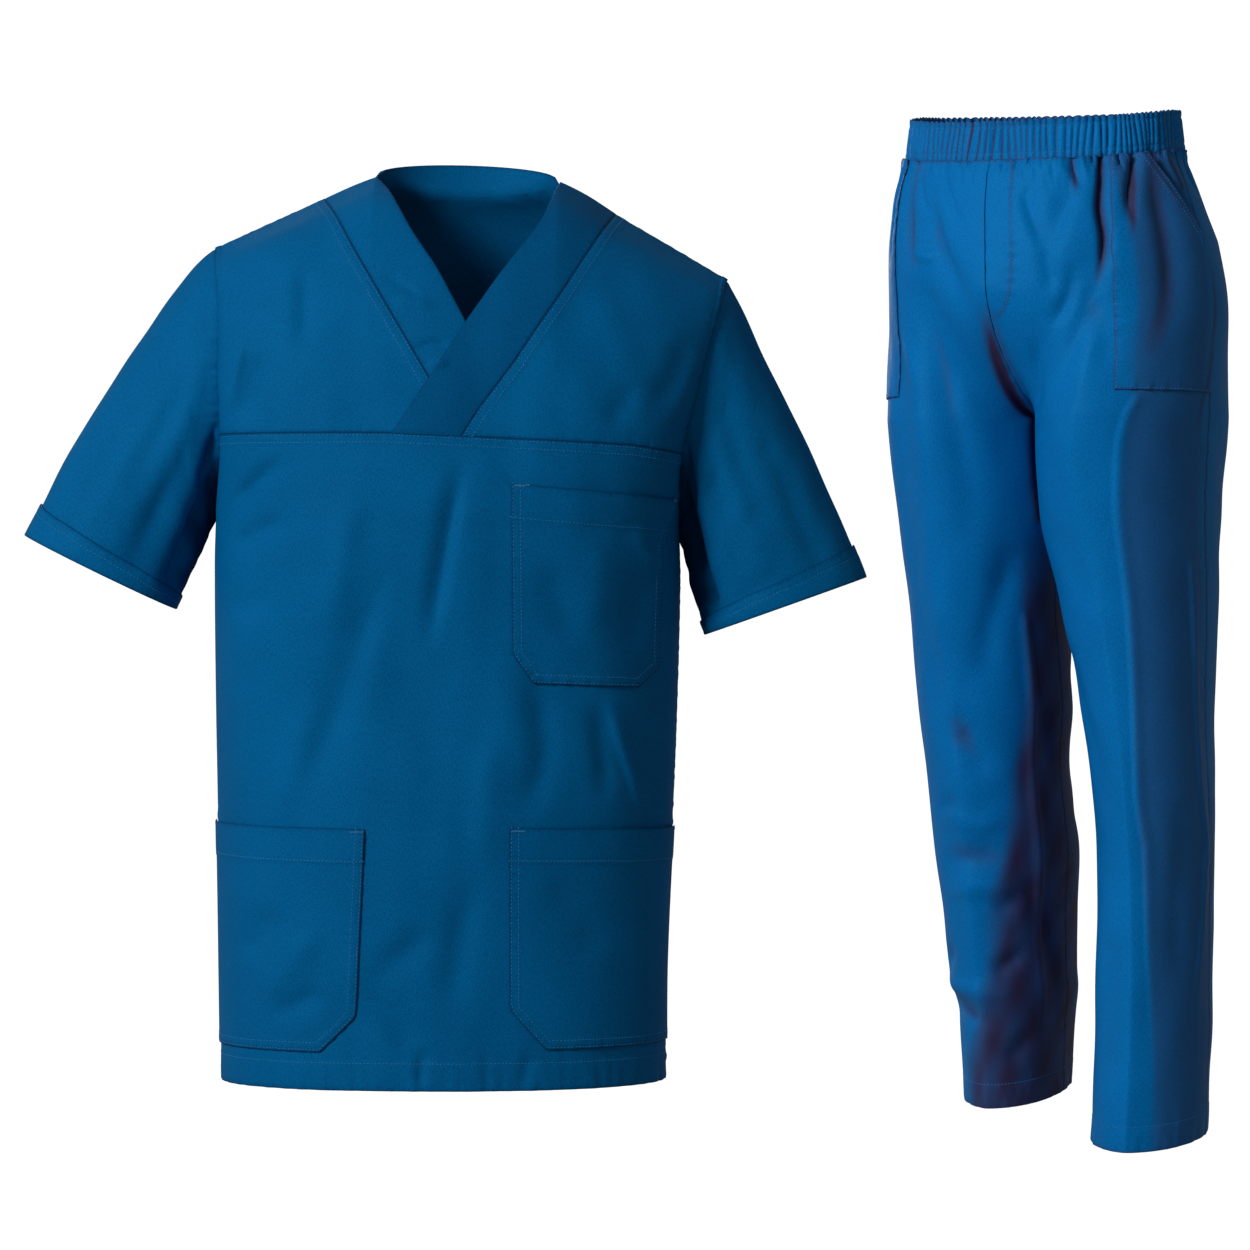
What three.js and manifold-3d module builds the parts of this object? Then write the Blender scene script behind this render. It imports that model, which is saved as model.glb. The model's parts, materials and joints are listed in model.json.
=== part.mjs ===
// Medical scrubs in cotton-rich twill, worn by nobody: a short-sleeved V-neck top with a crossed neck band,
// a chest yoke and three patch pockets, and beside it pull-on trousers with a shirred elastic waist.
// Millimetres, +Z up, the fronts towards -Y. The origin lies between the shoulders of the top, at the height
// of the neck points. The wearer's left is towards +X.
import * as THREE from 'three';
import { mergeVertices } from 'three/addons/utils/BufferGeometryUtils.js';
import Module from 'manifold-3d';

const wasm = await Module();
wasm.setup();

// Cloth
const CLOTH = 1.2;
const GAP = 0.3;
const LAYER = CLOTH + 0.4;
const WAIST_SEAM = 0.9;
const BLUE_TOP = 0x0a5a94;
const BLUE_TROUSERS = 0x0c62a8;

// Top: driving sizes
const HEM_Z = -785;
const HEM_DEPTH = 22;
const HEM_FOLD = 0.9;
const ROUNDNESS = 2.35;
const VENT_HEIGHT = 130;
const VENT_OPENING = 7;
const ARMPIT = { leftX: -220, leftZ: -284, rightX: 186, rightZ: -300 };
const NECK_HALF = 80;
const NECK_Z = { left: 5, right: 10 };
const NECK_BACK_RISE = 20;
const NECK_BACK_DEPTH = 66;
const SHOULDER = { leftX: -221.8, leftZ: -53, rightX: 230, rightZ: -81 };
const CUFF_WIDTH = 31;
const SLEEVE_GAP = { underarm: 3.4, cap: 2.9 };

// Yoke seam in the front view.
const YOKE_SEAM = [
  { x: -400, z: -219 },
  { x: -220, z: -220 },
  { x: -60, z: -221.5 },
  { x: 0, z: -224.5 },
  { x: 147, z: -231 },
  { x: 191, z: -237 },
  { x: 400, z: -262 },
];

// Neck bands: their inner and outer edges in the front view, from above the shoulder down past the crossing.
const BAND_EDGES = {
  left: {
    inner: [[96, 46], [82, 5], [70, -30], [60, -45.5], [33.5, -81], [2.5, -125.5], [-27, -172.5], [-59.6, -222], [-76, -248]],
    outer: [[155, 18], [131, -23], [107.5, -62], [84, -100], [61, -135], [44, -161], [13.5, -202], [0, -224], [-15, -248]],
  },
  right: {
    inner: [[-110, 46], [-79.6, 9.8], [-66, -5.5], [-44, -45], [-22.5, -76.5], [3.6, -125.5], [12, -141]],
    outer: [[-160, 37], [-125.6, -9.9], [-111.4, -29.4], [-94, -61], [-69.4, -103], [-28.6, -172.7], [-20, -187]],
  },
};
const BAND_TUCK = 0.2;

// Body of the top at its side seams, from the hem up to the armpits.
const BODY_SECTIONS = [
  { z: -785, centreX: -20, halfWidth: 195, front: 134, back: 124 },
  { z: -680, centreX: -20.5, halfWidth: 196, front: 137, back: 120 },
  { z: -541, centreX: -18.5, halfWidth: 200, front: 139, back: 112 },
  { z: -454, centreX: -17.5, halfWidth: 202.5, front: 140, back: 108 },
  { z: -332, centreX: -16.5, halfWidth: 204.5, front: 140, back: 114 },
  { z: -292, centreX: -16.5, halfWidth: 203.5, front: 138, back: 118 },
];

// Edges of the armholes, from the armpit (rise 0) to the shoulder (rise 1), with the depths of the chest and back.
const ARMHOLES = [
  { rise: 0, leftX: -220, rightX: 187, edgeFront: 0, edgeBack: 0, chest: 138, shoulderBlade: 118 },
  { rise: 0.25, leftX: -213, rightX: 188, edgeFront: 42, edgeBack: 44, chest: 132, shoulderBlade: 122 },
  { rise: 0.5, leftX: -213.5, rightX: 201, edgeFront: 54, edgeBack: 60, chest: 117, shoulderBlade: 118 },
  { rise: 0.75, leftX: -214, rightX: 215, edgeFront: 46, edgeBack: 54, chest: 88, shoulderBlade: 100 },
  { rise: 0.9, leftX: -218, rightX: 224, edgeFront: 27, edgeBack: 34, chest: 55, shoulderBlade: 66 },
  { rise: 1, leftX: -221.8, rightX: 230, edgeFront: 0, edgeBack: 0, chest: 0, shoulderBlade: 0 },
];

// Cuff ends in the front view: the outer end hangs below the shoulder, the inner end below the armpit.
const CUFFS = {
  right: { outerX: -388, outerZ: -308, innerX: -259, innerZ: -371, centreY: -6, halfDepth: 50, capX: -0.82, capZ: -0.57 },
  left: { outerX: 351, outerZ: -345, innerX: 213, innerZ: -394, centreY: -6, halfDepth: 50, capX: 0.42, capZ: -0.9 },
};

// Patch pockets, as outlines in the front view that start with the two ends of the mouth, and the mouth's fold.
const POCKETS = {
  pocket_chest: {
    hem: 31,
    outline: [[42.5, -265], [183, -276], [171, -320], [168, -423], [150, -440], [61, -436], [43.5, -412]],
  },
  pocket_lower_right: {
    hem: 30,
    outline: [[-240, -557], [-82, -560.5], [-90, -721], [-121, -752], [-240, -752]],
  },
  pocket_lower_left: {
    hem: 30,
    outline: [[41, -559], [200, -563], [200, -750], [71.5, -750], [41, -716]],
  },
};

// Folds of the top: soft troughs (depth below 0) and ridges between two points of the front or back view.
const FRONT_FOLDS = [
  { x0: -150, z0: -262, x1: -206, z1: -420, width: 17, depth: 5 },
  { x0: -118, z0: -300, x1: -176, z1: -470, width: 16, depth: -4 },
  { x0: -8, z0: -250, x1: -28, z1: -452, width: 15, depth: -5 },
  { x0: -95, z0: -330, x1: -68, z1: -510, width: 16, depth: -3.5 },
  { x0: 30, z0: -440, x1: 12, z1: -620, width: 18, depth: -3 },
  { x0: 128, z0: -445, x1: 165, z1: -640, width: 12, depth: 4 },
  { x0: 105, z0: -450, x1: 140, z1: -640, width: 13, depth: -3 },
  { x0: -172, z0: -135, x1: -184, z1: -205, width: 9, depth: -4 },
  { x0: -128, z0: -95, x1: -122, z1: -165, width: 10, depth: -3 },
  { x0: 172, z0: -150, x1: 176, z1: -226, width: 10, depth: -5 },
  { x0: 112, z0: -215, x1: 160, z1: -195, width: 9, depth: -2.5 },
  { x0: 45, z0: -690, x1: -60, z1: -600, width: 22, depth: -2.5 },
];
const BACK_FOLDS = [
  { x0: -60, z0: -190, x1: -110, z1: -420, width: 20, depth: -6 },
  { x0: 45, z0: -200, x1: 80, z1: -430, width: 20, depth: -5 },
  { x0: -15, z0: -330, x1: -20, z1: -600, width: 24, depth: 5 },
  { x0: -140, z0: -400, x1: -120, z1: -640, width: 18, depth: -5 },
  { x0: 110, z0: -420, x1: 95, z1: -660, width: 18, depth: -5 },
  { x0: -175, z0: -150, x1: -165, z1: -270, width: 12, depth: -5 },
  { x0: 165, z0: -160, x1: 150, z1: -290, width: 12, depth: -5 },
];
// Folds of a sleeve: around is 0 at the underarm, 0.25 at the front, 0.5 at the shoulder; along is 0 at the armhole.
const SLEEVE_FOLDS = [
  { around0: 0.2, along0: 0.28, around1: 0.17, along1: 0.86, width: 13, depth: -6 },
  { around0: 0.1, along0: 0.05, around1: 0.11, along1: 0.62, width: 12, depth: -6 },
  { around0: 0.3, along0: 0.22, around1: 0.27, along1: 0.9, width: 14, depth: 3.5 },
  { around0: 0.78, along0: 0.2, around1: 0.82, along1: 0.85, width: 14, depth: -6 },
  { around0: 0.9, along0: 0.05, around1: 0.9, along1: 0.6, width: 12, depth: -6 },
];

// Trousers: driving sizes. They stand behind the top's plane and are turned to their right.
const TROUSERS = { x: 551, y: 300, turn: -35 };
const WAIST_Z = 100;
const WAIST_DROP = { front: 16, back: -8, left: 5, right: -5 };
const BAND_HEIGHT = 38;
const GATHERS = 84;
const GATHER_DEPTH = 2.1;
const FORK_Z = -70;
const CROTCH_Z = -190;
const FORK_ROUNDNESS = 1.6;
const CREASE = 5;
const HIP_ROUNDNESS = 2.1;
const LEG_HEMS = { left: { front: -871, back: -850 }, right: { front: -848, back: -826 } };
const LEG_HEM_DEPTH = 24;
const SLANT_POCKET = { mouthTop: 0.385, mouthEndZ: -30, bottomZ: -170 };

// Waist and hips in the trousers' own frame: half width, front and back depth, and the centre's place.
const HIPS = [
  { z: 100, half: 131, front: 98, back: 98, x: -9, y: -7 },
  { z: 55, half: 138, front: 104, back: 104, x: -9, y: -7 },
  { z: 24, half: 148, front: 112, back: 111, x: -8, y: -6 },
  { z: 2, half: 153, front: 119, back: 117, x: -6, y: -5 },
  { z: -29, half: 160, front: 126, back: 123, x: -3, y: -3 },
  { z: -97, half: 166, front: 133, back: 131, x: 0, y: 0 },
  { z: -190, half: 165, front: 135, back: 129, x: 0, y: 0 },
];
// Where the slant pocket's upright inner edge lies around the leg. Below the pocket the row runs on to the crease.
const POCKET_EDGE = [
  { z: 62, around: 0.281 },
  { z: 20, around: 0.263 },
  { z: -30, around: 0.249 },
  { z: -70, around: 0.2565 },
  { z: -130, around: 0.295 },
  { z: -190, around: 0.322 },
  { z: -290, around: 0.262 },
  { z: -380, around: 0.25 },
  { z: -880, around: 0.25 },
];
// Legs: centre, half width across, half depth fore and aft, and the turn in degrees from the hips.
const LEGS = {
  left: [
    { z: -190, x: 82.6, y: -4, across: 80.6, fore: 114, turn: 0 },
    { z: -280, x: 80.2, y: -3, across: 77.4, fore: 103, turn: 1 },
    { z: -365, x: 90.4, y: -1, across: 67.3, fore: 91, turn: 4 },
    { z: -460, x: 98.5, y: -2, across: 57.7, fore: 84, turn: 8 },
    { z: -590, x: 107.4, y: -3, across: 51.2, fore: 80, turn: 11 },
    { z: -741, x: 108.9, y: -7, across: 51, fore: 79, turn: 13 },
    { z: -880, x: 105.1, y: -12, across: 50.3, fore: 78, turn: 13 },
  ],
  right: [
    { z: -190, x: -82.6, y: 4, across: 80.6, fore: 114, turn: 0 },
    { z: -277, x: -80.2, y: 7, across: 77.4, fore: 103, turn: 1 },
    { z: -365, x: -80.4, y: 10, across: 69.8, fore: 94, turn: 2 },
    { z: -462, x: -77.5, y: 19, across: 69, fore: 90, turn: 3 },
    { z: -520, x: -78, y: 25, across: 63.3, fore: 88, turn: 4 },
    { z: -599, x: -75, y: 35, across: 62.5, fore: 88, turn: 5 },
    { z: -658, x: -75.8, y: 42, across: 57.1, fore: 86, turn: 6 },
    { z: -717, x: -75.9, y: 48, across: 54, fore: 84, turn: 7 },
    { z: -738, x: -75, y: 51, across: 53, fore: 84, turn: 7.5 },
    { z: -762, x: -74.5, y: 54, across: 49, fore: 83, turn: 8 },
    { z: -816, x: -77.5, y: 60, across: 46, fore: 81, turn: 9 },
    { z: -860, x: -78, y: 62, across: 44.5, fore: 79, turn: 9 },
  ],
};
// Folds of a leg: around is 0 at the centre front and the inseam, 0.5 at the outseam and 1 at the centre back.
const LEG_FOLDS = {
  left: [
    { around0: 0.205, z0: 64, around1: 0.21, z1: -62, width: 8, depth: -8 },
    { around0: 0.285, z0: 64, around1: 0.275, z1: -25, width: 8, depth: -7 },
    { around0: 0.15, z0: 64, around1: 0.155, z1: 18, width: 7, depth: -4 },
    { around0: 0.355, z0: 60, around1: 0.35, z1: -120, width: 14, depth: -6 },
    { around0: 0.07, z0: 20, around1: 0.11, z1: -38, width: 8, depth: -3.5 },
    { around0: 0.02, z0: -110, around1: 0.1, z1: -250, width: 10, depth: 5 },
    { around0: 0.62, z0: 64, around1: 0.62, z1: -20, width: 10, depth: -7 },
    { around0: 0.72, z0: 64, around1: 0.73, z1: -45, width: 11, depth: -8 },
    { around0: 0.82, z0: 64, around1: 0.84, z1: -30, width: 10, depth: -7 },
    { around0: 0.92, z0: 64, around1: 0.91, z1: -10, width: 9, depth: -6 },
    { around0: 0.85, z0: -170, around1: 0.7, z1: -330, width: 16, depth: -6 },
    { around0: 0.9, z0: -420, around1: 0.72, z1: -520, width: 18, depth: -5 },
    { around0: 0.4, z0: -700, around1: 0.33, z1: -830, width: 14, depth: -4 },
  ],
  right: [
    { around0: 0.2, z0: 64, around1: 0.2, z1: -48, width: 8, depth: -8 },
    { around0: 0.11, z0: 45, around1: 0.03, z1: -90, width: 11, depth: -3.5 },
    { around0: 0.3, z0: 64, around1: 0.29, z1: -10, width: 9, depth: -6 },
    { around0: 0.4, z0: 64, around1: 0.41, z1: -30, width: 9, depth: -6 },
    { around0: 0.62, z0: 64, around1: 0.61, z1: -30, width: 10, depth: -7 },
    { around0: 0.73, z0: 64, around1: 0.74, z1: -40, width: 11, depth: -8 },
    { around0: 0.84, z0: 64, around1: 0.83, z1: -20, width: 10, depth: -7 },
    { around0: 0.02, z0: -120, around1: 0.12, z1: -300, width: 13, depth: -5 },
    { around0: 0.02, z0: -275, around1: 0.16, z1: -350, width: 13, depth: -5 },
    { around0: 0.15, z0: -330, around1: 0.26, z1: -470, width: 16, depth: -4 },
    { around0: 0.2, z0: -740, around1: 0.46, z1: -736, width: 13, depth: 5 },
    { around0: 0.12, z0: -768, around1: 0.5, z1: -764, width: 12, depth: -4 },
    { around0: 0.1, z0: -700, around1: 0.22, z1: -728, width: 14, depth: 4 },
    { around0: 0.9, z0: -430, around1: 0.7, z1: -500, width: 18, depth: -5 },
  ],
};

// Mesh density
const FRONT_COLUMNS = 20;
const BACK_COLUMNS = 16;
const BODY_ROWS = 11;
const CHEST_ROWS = 9;
const SLEEVE_COLUMNS = 22;
const SLEEVE_ROWS = 8;
const LEG_COLUMNS = { toPocket: 7, pocket: 8, back: 12 };

const clamp = (value, low, high) => Math.min(high, Math.max(low, value));
const mix = (a, b, share) => a + (b - a) * share;
const smooth = (share) => share * share * (3 - 2 * share);
const power = (value, exponent) => Math.sign(value) * Math.abs(value) ** exponent;

// Reads one column of a table at a place between its rows, on a smooth curve through them.
function readTable(rows, key, place, column) {
  const rising = rows[0][key] < rows[rows.length - 1][key] ? 1 : -1;
  let i = 0;
  while (i < rows.length - 2 && rising * (place - rows[i + 1][key]) > 0) i += 1;
  const [a, b] = [rows[i], rows[i + 1]];
  const before = rows[Math.max(i - 1, 0)];
  const after = rows[Math.min(i + 2, rows.length - 1)];
  const span = b[key] - a[key];
  const t = clamp((place - a[key]) / span, 0, 1);
  const slopeA = (b[column] - before[column]) / (b[key] - before[key]) * span;
  const slopeB = (after[column] - a[column]) / (after[key] - a[key]) * span;
  const [t2, t3] = [t * t, t * t * t];
  return a[column] * (2 * t3 - 3 * t2 + 1) + slopeA * (t3 - 2 * t2 + t)
    + b[column] * (3 * t2 - 2 * t3) + slopeB * (t3 - t2);
}

// How far a fold lifts the cloth at a point that is given, like the fold's ends, in millimetres on the cloth.
function foldLift(x, z, x0, z0, x1, z1, width, depth) {
  const [dx, dz] = [x1 - x0, z1 - z0];
  const length = Math.hypot(dx, dz);
  const along = clamp(((x - x0) * dx + (z - z0) * dz) / (length * length), 0, 1);
  const distance = Math.hypot(x - x0 - along * dx, z - z0 - along * dz);
  return depth * Math.exp(-((distance / width) ** 2)) * (0.45 + 0.55 * Math.sin(Math.PI * clamp(along, 0.12, 0.88)));
}

// Outward normal of a surface at (u, v), by small steps along both directions.
function normalOf(surface, u, v, du, dv) {
  const a = surface(u + du, v).sub(surface(u - du, v));
  const b = surface(u, v + dv).sub(surface(u, v - dv));
  return a.cross(b).normalize();
}

// A grid of cloth points with their normals: us and vs are the parameters of its columns and rows.
function clothGrid(surface, us, vs, du, dv, turned = 1) {
  return vs.map((v) => us.map((u) => {
    const at = (x, y) => surface(typeof x === 'number' ? x : x(v), y);
    const here = typeof u === 'number' ? u : u(v);
    return { p: at(here, v), n: normalOf(at, here, v, du, dv).multiplyScalar(turned), u: here, v };
  }));
}

// The wall between two distances from a grid's points, closed along its edges, or around if it is a tube.
function clothWall(grid, inner, outer, { tube = false, flip = false, keep = null } = {}) {
  const rows = grid.length;
  const columns = grid[0].length;
  const positions = [];
  const place = (point, distance) => {
    const q = point.p.clone().addScaledVector(point.n, distance);
    if (keep) keep(q);
    positions.push(q.x, q.y, q.z);
  };
  const reach = (distance, point) => (typeof distance === 'function' ? distance(point) : distance);
  grid.forEach((row) => row.forEach((point) => place(point, reach(outer, point))));
  grid.forEach((row) => row.forEach((point) => place(point, reach(inner, point))));
  const index = [];
  const out = (i, j) => j * columns + (i % columns);
  const inn = (i, j) => rows * columns + j * columns + (i % columns);
  const quad = (a, b, c, d) => {
    if (flip) index.push(a, c, b, a, d, c);
    else index.push(a, b, c, a, c, d);
  };
  const lastColumn = tube ? columns : columns - 1;
  for (let j = 0; j < rows - 1; j += 1) {
    for (let i = 0; i < lastColumn; i += 1) {
      quad(out(i, j), out(i + 1, j), out(i + 1, j + 1), out(i, j + 1));
      quad(inn(i, j), inn(i, j + 1), inn(i + 1, j + 1), inn(i + 1, j));
    }
  }
  for (let i = 0; i < lastColumn; i += 1) {
    quad(inn(i, 0), inn(i + 1, 0), out(i + 1, 0), out(i, 0));
    quad(out(i, rows - 1), out(i + 1, rows - 1), inn(i + 1, rows - 1), inn(i, rows - 1));
  }
  if (!tube) {
    for (let j = 0; j < rows - 1; j += 1) {
      quad(out(0, j), out(0, j + 1), inn(0, j + 1), inn(0, j));
      quad(inn(columns - 1, j), inn(columns - 1, j + 1), out(columns - 1, j + 1), out(columns - 1, j));
    }
  }
  const geometry = new THREE.BufferGeometry();
  geometry.setAttribute('position', new THREE.Float32BufferAttribute(positions, 3));
  geometry.setIndex(index);
  return geometry;
}

// Booleans on closed geometries.
function toSolid(geometry) {
  const bare = geometry.clone();
  bare.deleteAttribute('normal');
  bare.deleteAttribute('uv');
  const merged = mergeVertices(bare, 1e-3);
  return new wasm.Manifold(new wasm.Mesh({
    numProp: 3,
    vertProperties: merged.attributes.position.array,
    triVerts: new Uint32Array(merged.index.array),
  }));
}
function toGeometry(solid) {
  const mesh = solid.getMesh();
  const geometry = new THREE.BufferGeometry();
  geometry.setAttribute('position', new THREE.BufferAttribute(mesh.vertProperties, 3));
  geometry.setIndex(new THREE.BufferAttribute(mesh.triVerts, 1));
  return geometry;
}

// A prism through the cloth, from an outline in the front view (x, z) or in the side view (y, z).
const PRISM = 900;
function frontPrism(points) {
  const shape = new THREE.Shape(points.map(([x, z]) => new THREE.Vector2(x, z)));
  const prism = new THREE.ExtrudeGeometry(shape, { depth: PRISM, bevelEnabled: false });
  prism.rotateX(Math.PI / 2);
  return toSolid(prism);
}
function sidePrism(points, fromX) {
  const shape = new THREE.Shape(points.map(([y, z]) => new THREE.Vector2(y, z)));
  const prism = new THREE.ExtrudeGeometry(shape, { depth: PRISM, bevelEnabled: false });
  prism.rotateX(Math.PI / 2);
  prism.rotateZ(Math.PI / 2);
  return toSolid(prism.translate(fromX, 0, 0));
}

// Top: the heights of the armpit line, the shoulder line and the yoke seam across the front view.
function armpitZ(x) {
  return mix(ARMPIT.leftZ, ARMPIT.rightZ, (x - ARMPIT.leftX) / (ARMPIT.rightX - ARMPIT.leftX));
}
function shoulderZ(x) {
  const { leftX, leftZ, rightX, rightZ } = SHOULDER;
  if (x < -NECK_HALF) return mix(NECK_Z.right, leftZ, Math.abs((x + NECK_HALF) / (leftX + NECK_HALF)) ** 1.04);
  if (x > NECK_HALF) return mix(NECK_Z.left, rightZ, Math.abs((x - NECK_HALF) / (rightX - NECK_HALF)) ** 1.04);
  return mix(NECK_Z.right, NECK_Z.left, (x + NECK_HALF) / (2 * NECK_HALF));
}

// Top: front or back surface. across runs from -1 to 1 between the side seams, height from 0 at the hem over 1 at
// the armpit to 2 at the shoulder seam.
function torso(face, across, height) {
  const front = face === 'front';
  const angle = across * Math.PI / 2;
  const side = power(Math.sin(angle), 2 / ROUNDNESS);
  const depth = Math.max(Math.cos(angle), 0) ** (2 / ROUNDNESS);
  const folds = front ? FRONT_FOLDS : BACK_FOLDS;
  let x;
  let y;
  let z;
  if (height <= 1) {
    const level = mix(HEM_Z, ARMPIT.leftZ, height);
    const read = (column) => readTable(BODY_SECTIONS, 'z', level, column);
    x = read('centreX') + read('halfWidth') * side;
    z = mix(HEM_Z, armpitZ(x), height);
    y = read(face) * depth;
  } else {
    const rise = height - 1;
    const read = (column) => readTable(ARMHOLES, 'rise', rise, column);
    const [leftX, rightX] = [read('leftX'), read('rightX')];
    x = (leftX + rightX) / 2 + (rightX - leftX) / 2 * side;
    const neck = Math.max(1 - (x / NECK_HALF) ** 2, 0);
    const top = shoulderZ(x) + (front ? 0 : NECK_BACK_RISE * neck ** 0.385);
    z = mix(armpitZ(x), top, rise);
    const edge = read(front ? 'edgeFront' : 'edgeBack');
    y = edge + (read(front ? 'chest' : 'shoulderBlade') - edge) * depth;
    if (!front) y = Math.max(y, NECK_BACK_DEPTH * Math.sqrt(neck) * smooth(clamp(rise * 1.6 - 0.6, 0, 1)));
  }
  const calm = Math.min(1, 1 - Math.abs(across) ** 8, (2 - height) * 5);
  const lift = folds.reduce((sum, f) => sum + foldLift(x, z, f.x0, f.z0, f.x1, f.z1, f.width, f.depth), 0);
  y += lift * Math.max(calm, 0);
  return new THREE.Vector3(x, front ? -y : y, z);
}

// The share of the quarter turn at which the cloth stops short of the side seam, wider in the side vent.
function seamShare(face, height) {
  const level = mix(HEM_Z, ARMPIT.leftZ, Math.min(height, 1));
  const vent = clamp((HEM_Z + VENT_HEIGHT - level) / VENT_HEIGHT, 0, 1);
  const gap = height > 1 ? 0 : GAP / 2 + VENT_OPENING * vent ** 1.5;
  const depth = readTable(BODY_SECTIONS, 'z', level, face);
  return Math.acos((gap / depth) ** (ROUNDNESS / 2)) / (Math.PI / 2);
}

function heights() {
  const low = Array.from({ length: BODY_ROWS }, (_, j) => j / BODY_ROWS);
  low.splice(1, 0, HEM_DEPTH / (ARMPIT.leftZ - HEM_Z));
  const high = Array.from({ length: CHEST_ROWS + 1 }, (_, j) => 1 + 0.9995 * Math.sin(j / CHEST_ROWS * Math.PI / 2));
  return [...low, ...high];
}

function torsoGrid(face, columns) {
  const us = Array.from({ length: columns + 1 }, (_, i) => {
    const across = -1 + 2 * i / columns;
    return (height) => across * seamShare(face, height);
  });
  const surface = (across, height) => torso(face, across, height);
  return clothGrid(surface, us, heights(), 1e-3, 1e-4, face === 'front' ? 1 : -1);
}

const hemFold = (point) => (point.v * (ARMPIT.leftZ - HEM_Z) <= HEM_DEPTH + 1 ? -HEM_FOLD : 0);
const frontGrid = torsoGrid('front', FRONT_COLUMNS);
const frontCloth = toSolid(clothWall(frontGrid, hemFold, CLOTH));
const frontLayer = toSolid(clothWall(frontGrid, LAYER, LAYER + CLOTH));

function bandOutline(side) {
  const { inner, outer } = BAND_EDGES[side];
  return [...inner, ...[...outer].reverse()];
}

const WIDE = 400;
function aboveYoke(gap) {
  return [...YOKE_SEAM.map((row) => [row.x, row.z + gap]), [WIDE, 200], [-WIDE, 200]];
}

const group = new THREE.Group();
const topMaterial = () => new THREE.MeshStandardMaterial({ color: BLUE_TOP, roughness: 0.72, metalness: 0 });
const trouserMaterial = () => new THREE.MeshStandardMaterial({ color: BLUE_TROUSERS, roughness: 0.6, metalness: 0 });
function addPiece(parent, name, geometry, material) {
  const mesh = new THREE.Mesh(geometry, material);
  mesh.name = name;
  parent.add(mesh);
}

// The largest closed body of a cut, without the crumbs and slivers that a boolean can leave.
function largest(solid) {
  return solid.decompose().sort((a, b) => b.volume() - a.volume())[0].simplify(0.03);
}

function buildTopFront() {
  const yokes = frontCloth.intersect(frontPrism(aboveYoke(GAP)));
  const seam = [...YOKE_SEAM].reverse().map((row) => [row.x, row.z]);
  const bodyOutline = [[-WIDE, HEM_Z - 60], [WIDE, HEM_Z - 60], ...seam];
  addPiece(group, 'front_body', toGeometry(largest(frontCloth.intersect(frontPrism(bodyOutline)))), topMaterial());

  // The right yoke ends at the under band and runs on beneath the upper one. The left yoke tucks under its band.
  const underEdge = BAND_EDGES.right.outer.map(([x, z]) => [x - GAP, z - GAP]);
  const rightOutline = [[-WIDE, 200], ...underEdge, [-33, -222], [-46, -248], [-WIDE, -420]];
  const { inner, outer } = BAND_EDGES.left;
  const tuckedEdge = outer.map(([x, z], i) => [mix(x, inner[i][0], BAND_TUCK), mix(z, inner[i][1], BAND_TUCK)]);
  const leftOutline = [[WIDE, 200], [WIDE, -420], ...tuckedEdge.reverse()];
  addPiece(group, 'front_yoke_right', toGeometry(largest(yokes.intersect(frontPrism(rightOutline)))), topMaterial());
  addPiece(group, 'front_yoke_left', toGeometry(largest(yokes.intersect(frontPrism(leftOutline)))), topMaterial());

  const underBand = yokes.intersect(frontPrism(bandOutline('right')));
  const upperBand = frontLayer.intersect(frontPrism(bandOutline('left'))).intersect(frontPrism(aboveYoke(GAP)));
  addPiece(group, 'neck_band_right', toGeometry(largest(underBand)), topMaterial());
  addPiece(group, 'neck_band_left', toGeometry(largest(upperBand)), topMaterial());
}

// A patch pocket is the front's own cloth moved out a layer, with a thicker band where its mouth is turned in.
function buildPocket(name, { outline, hem }) {
  const patch = frontLayer.intersect(frontPrism(outline));
  const [[leftX, leftZ], [rightX, rightZ]] = outline;
  const mouth = [[leftX, leftZ - hem], [rightX, rightZ - hem], [rightX, rightZ], [leftX, leftZ]];
  const raised = toSolid(clothWall(frontGrid, LAYER + CLOTH / 2, LAYER + CLOTH + HEM_FOLD));
  const band = raised.intersect(frontPrism(outline)).intersect(frontPrism(mouth));
  addPiece(group, name, toGeometry(largest(patch.add(band))), topMaterial());
}

function buildBack() {
  const grid = torsoGrid('back', BACK_COLUMNS);
  addPiece(group, 'back_body', clothWall(grid, hemFold, CLOTH, { flip: true }), topMaterial());
}

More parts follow.
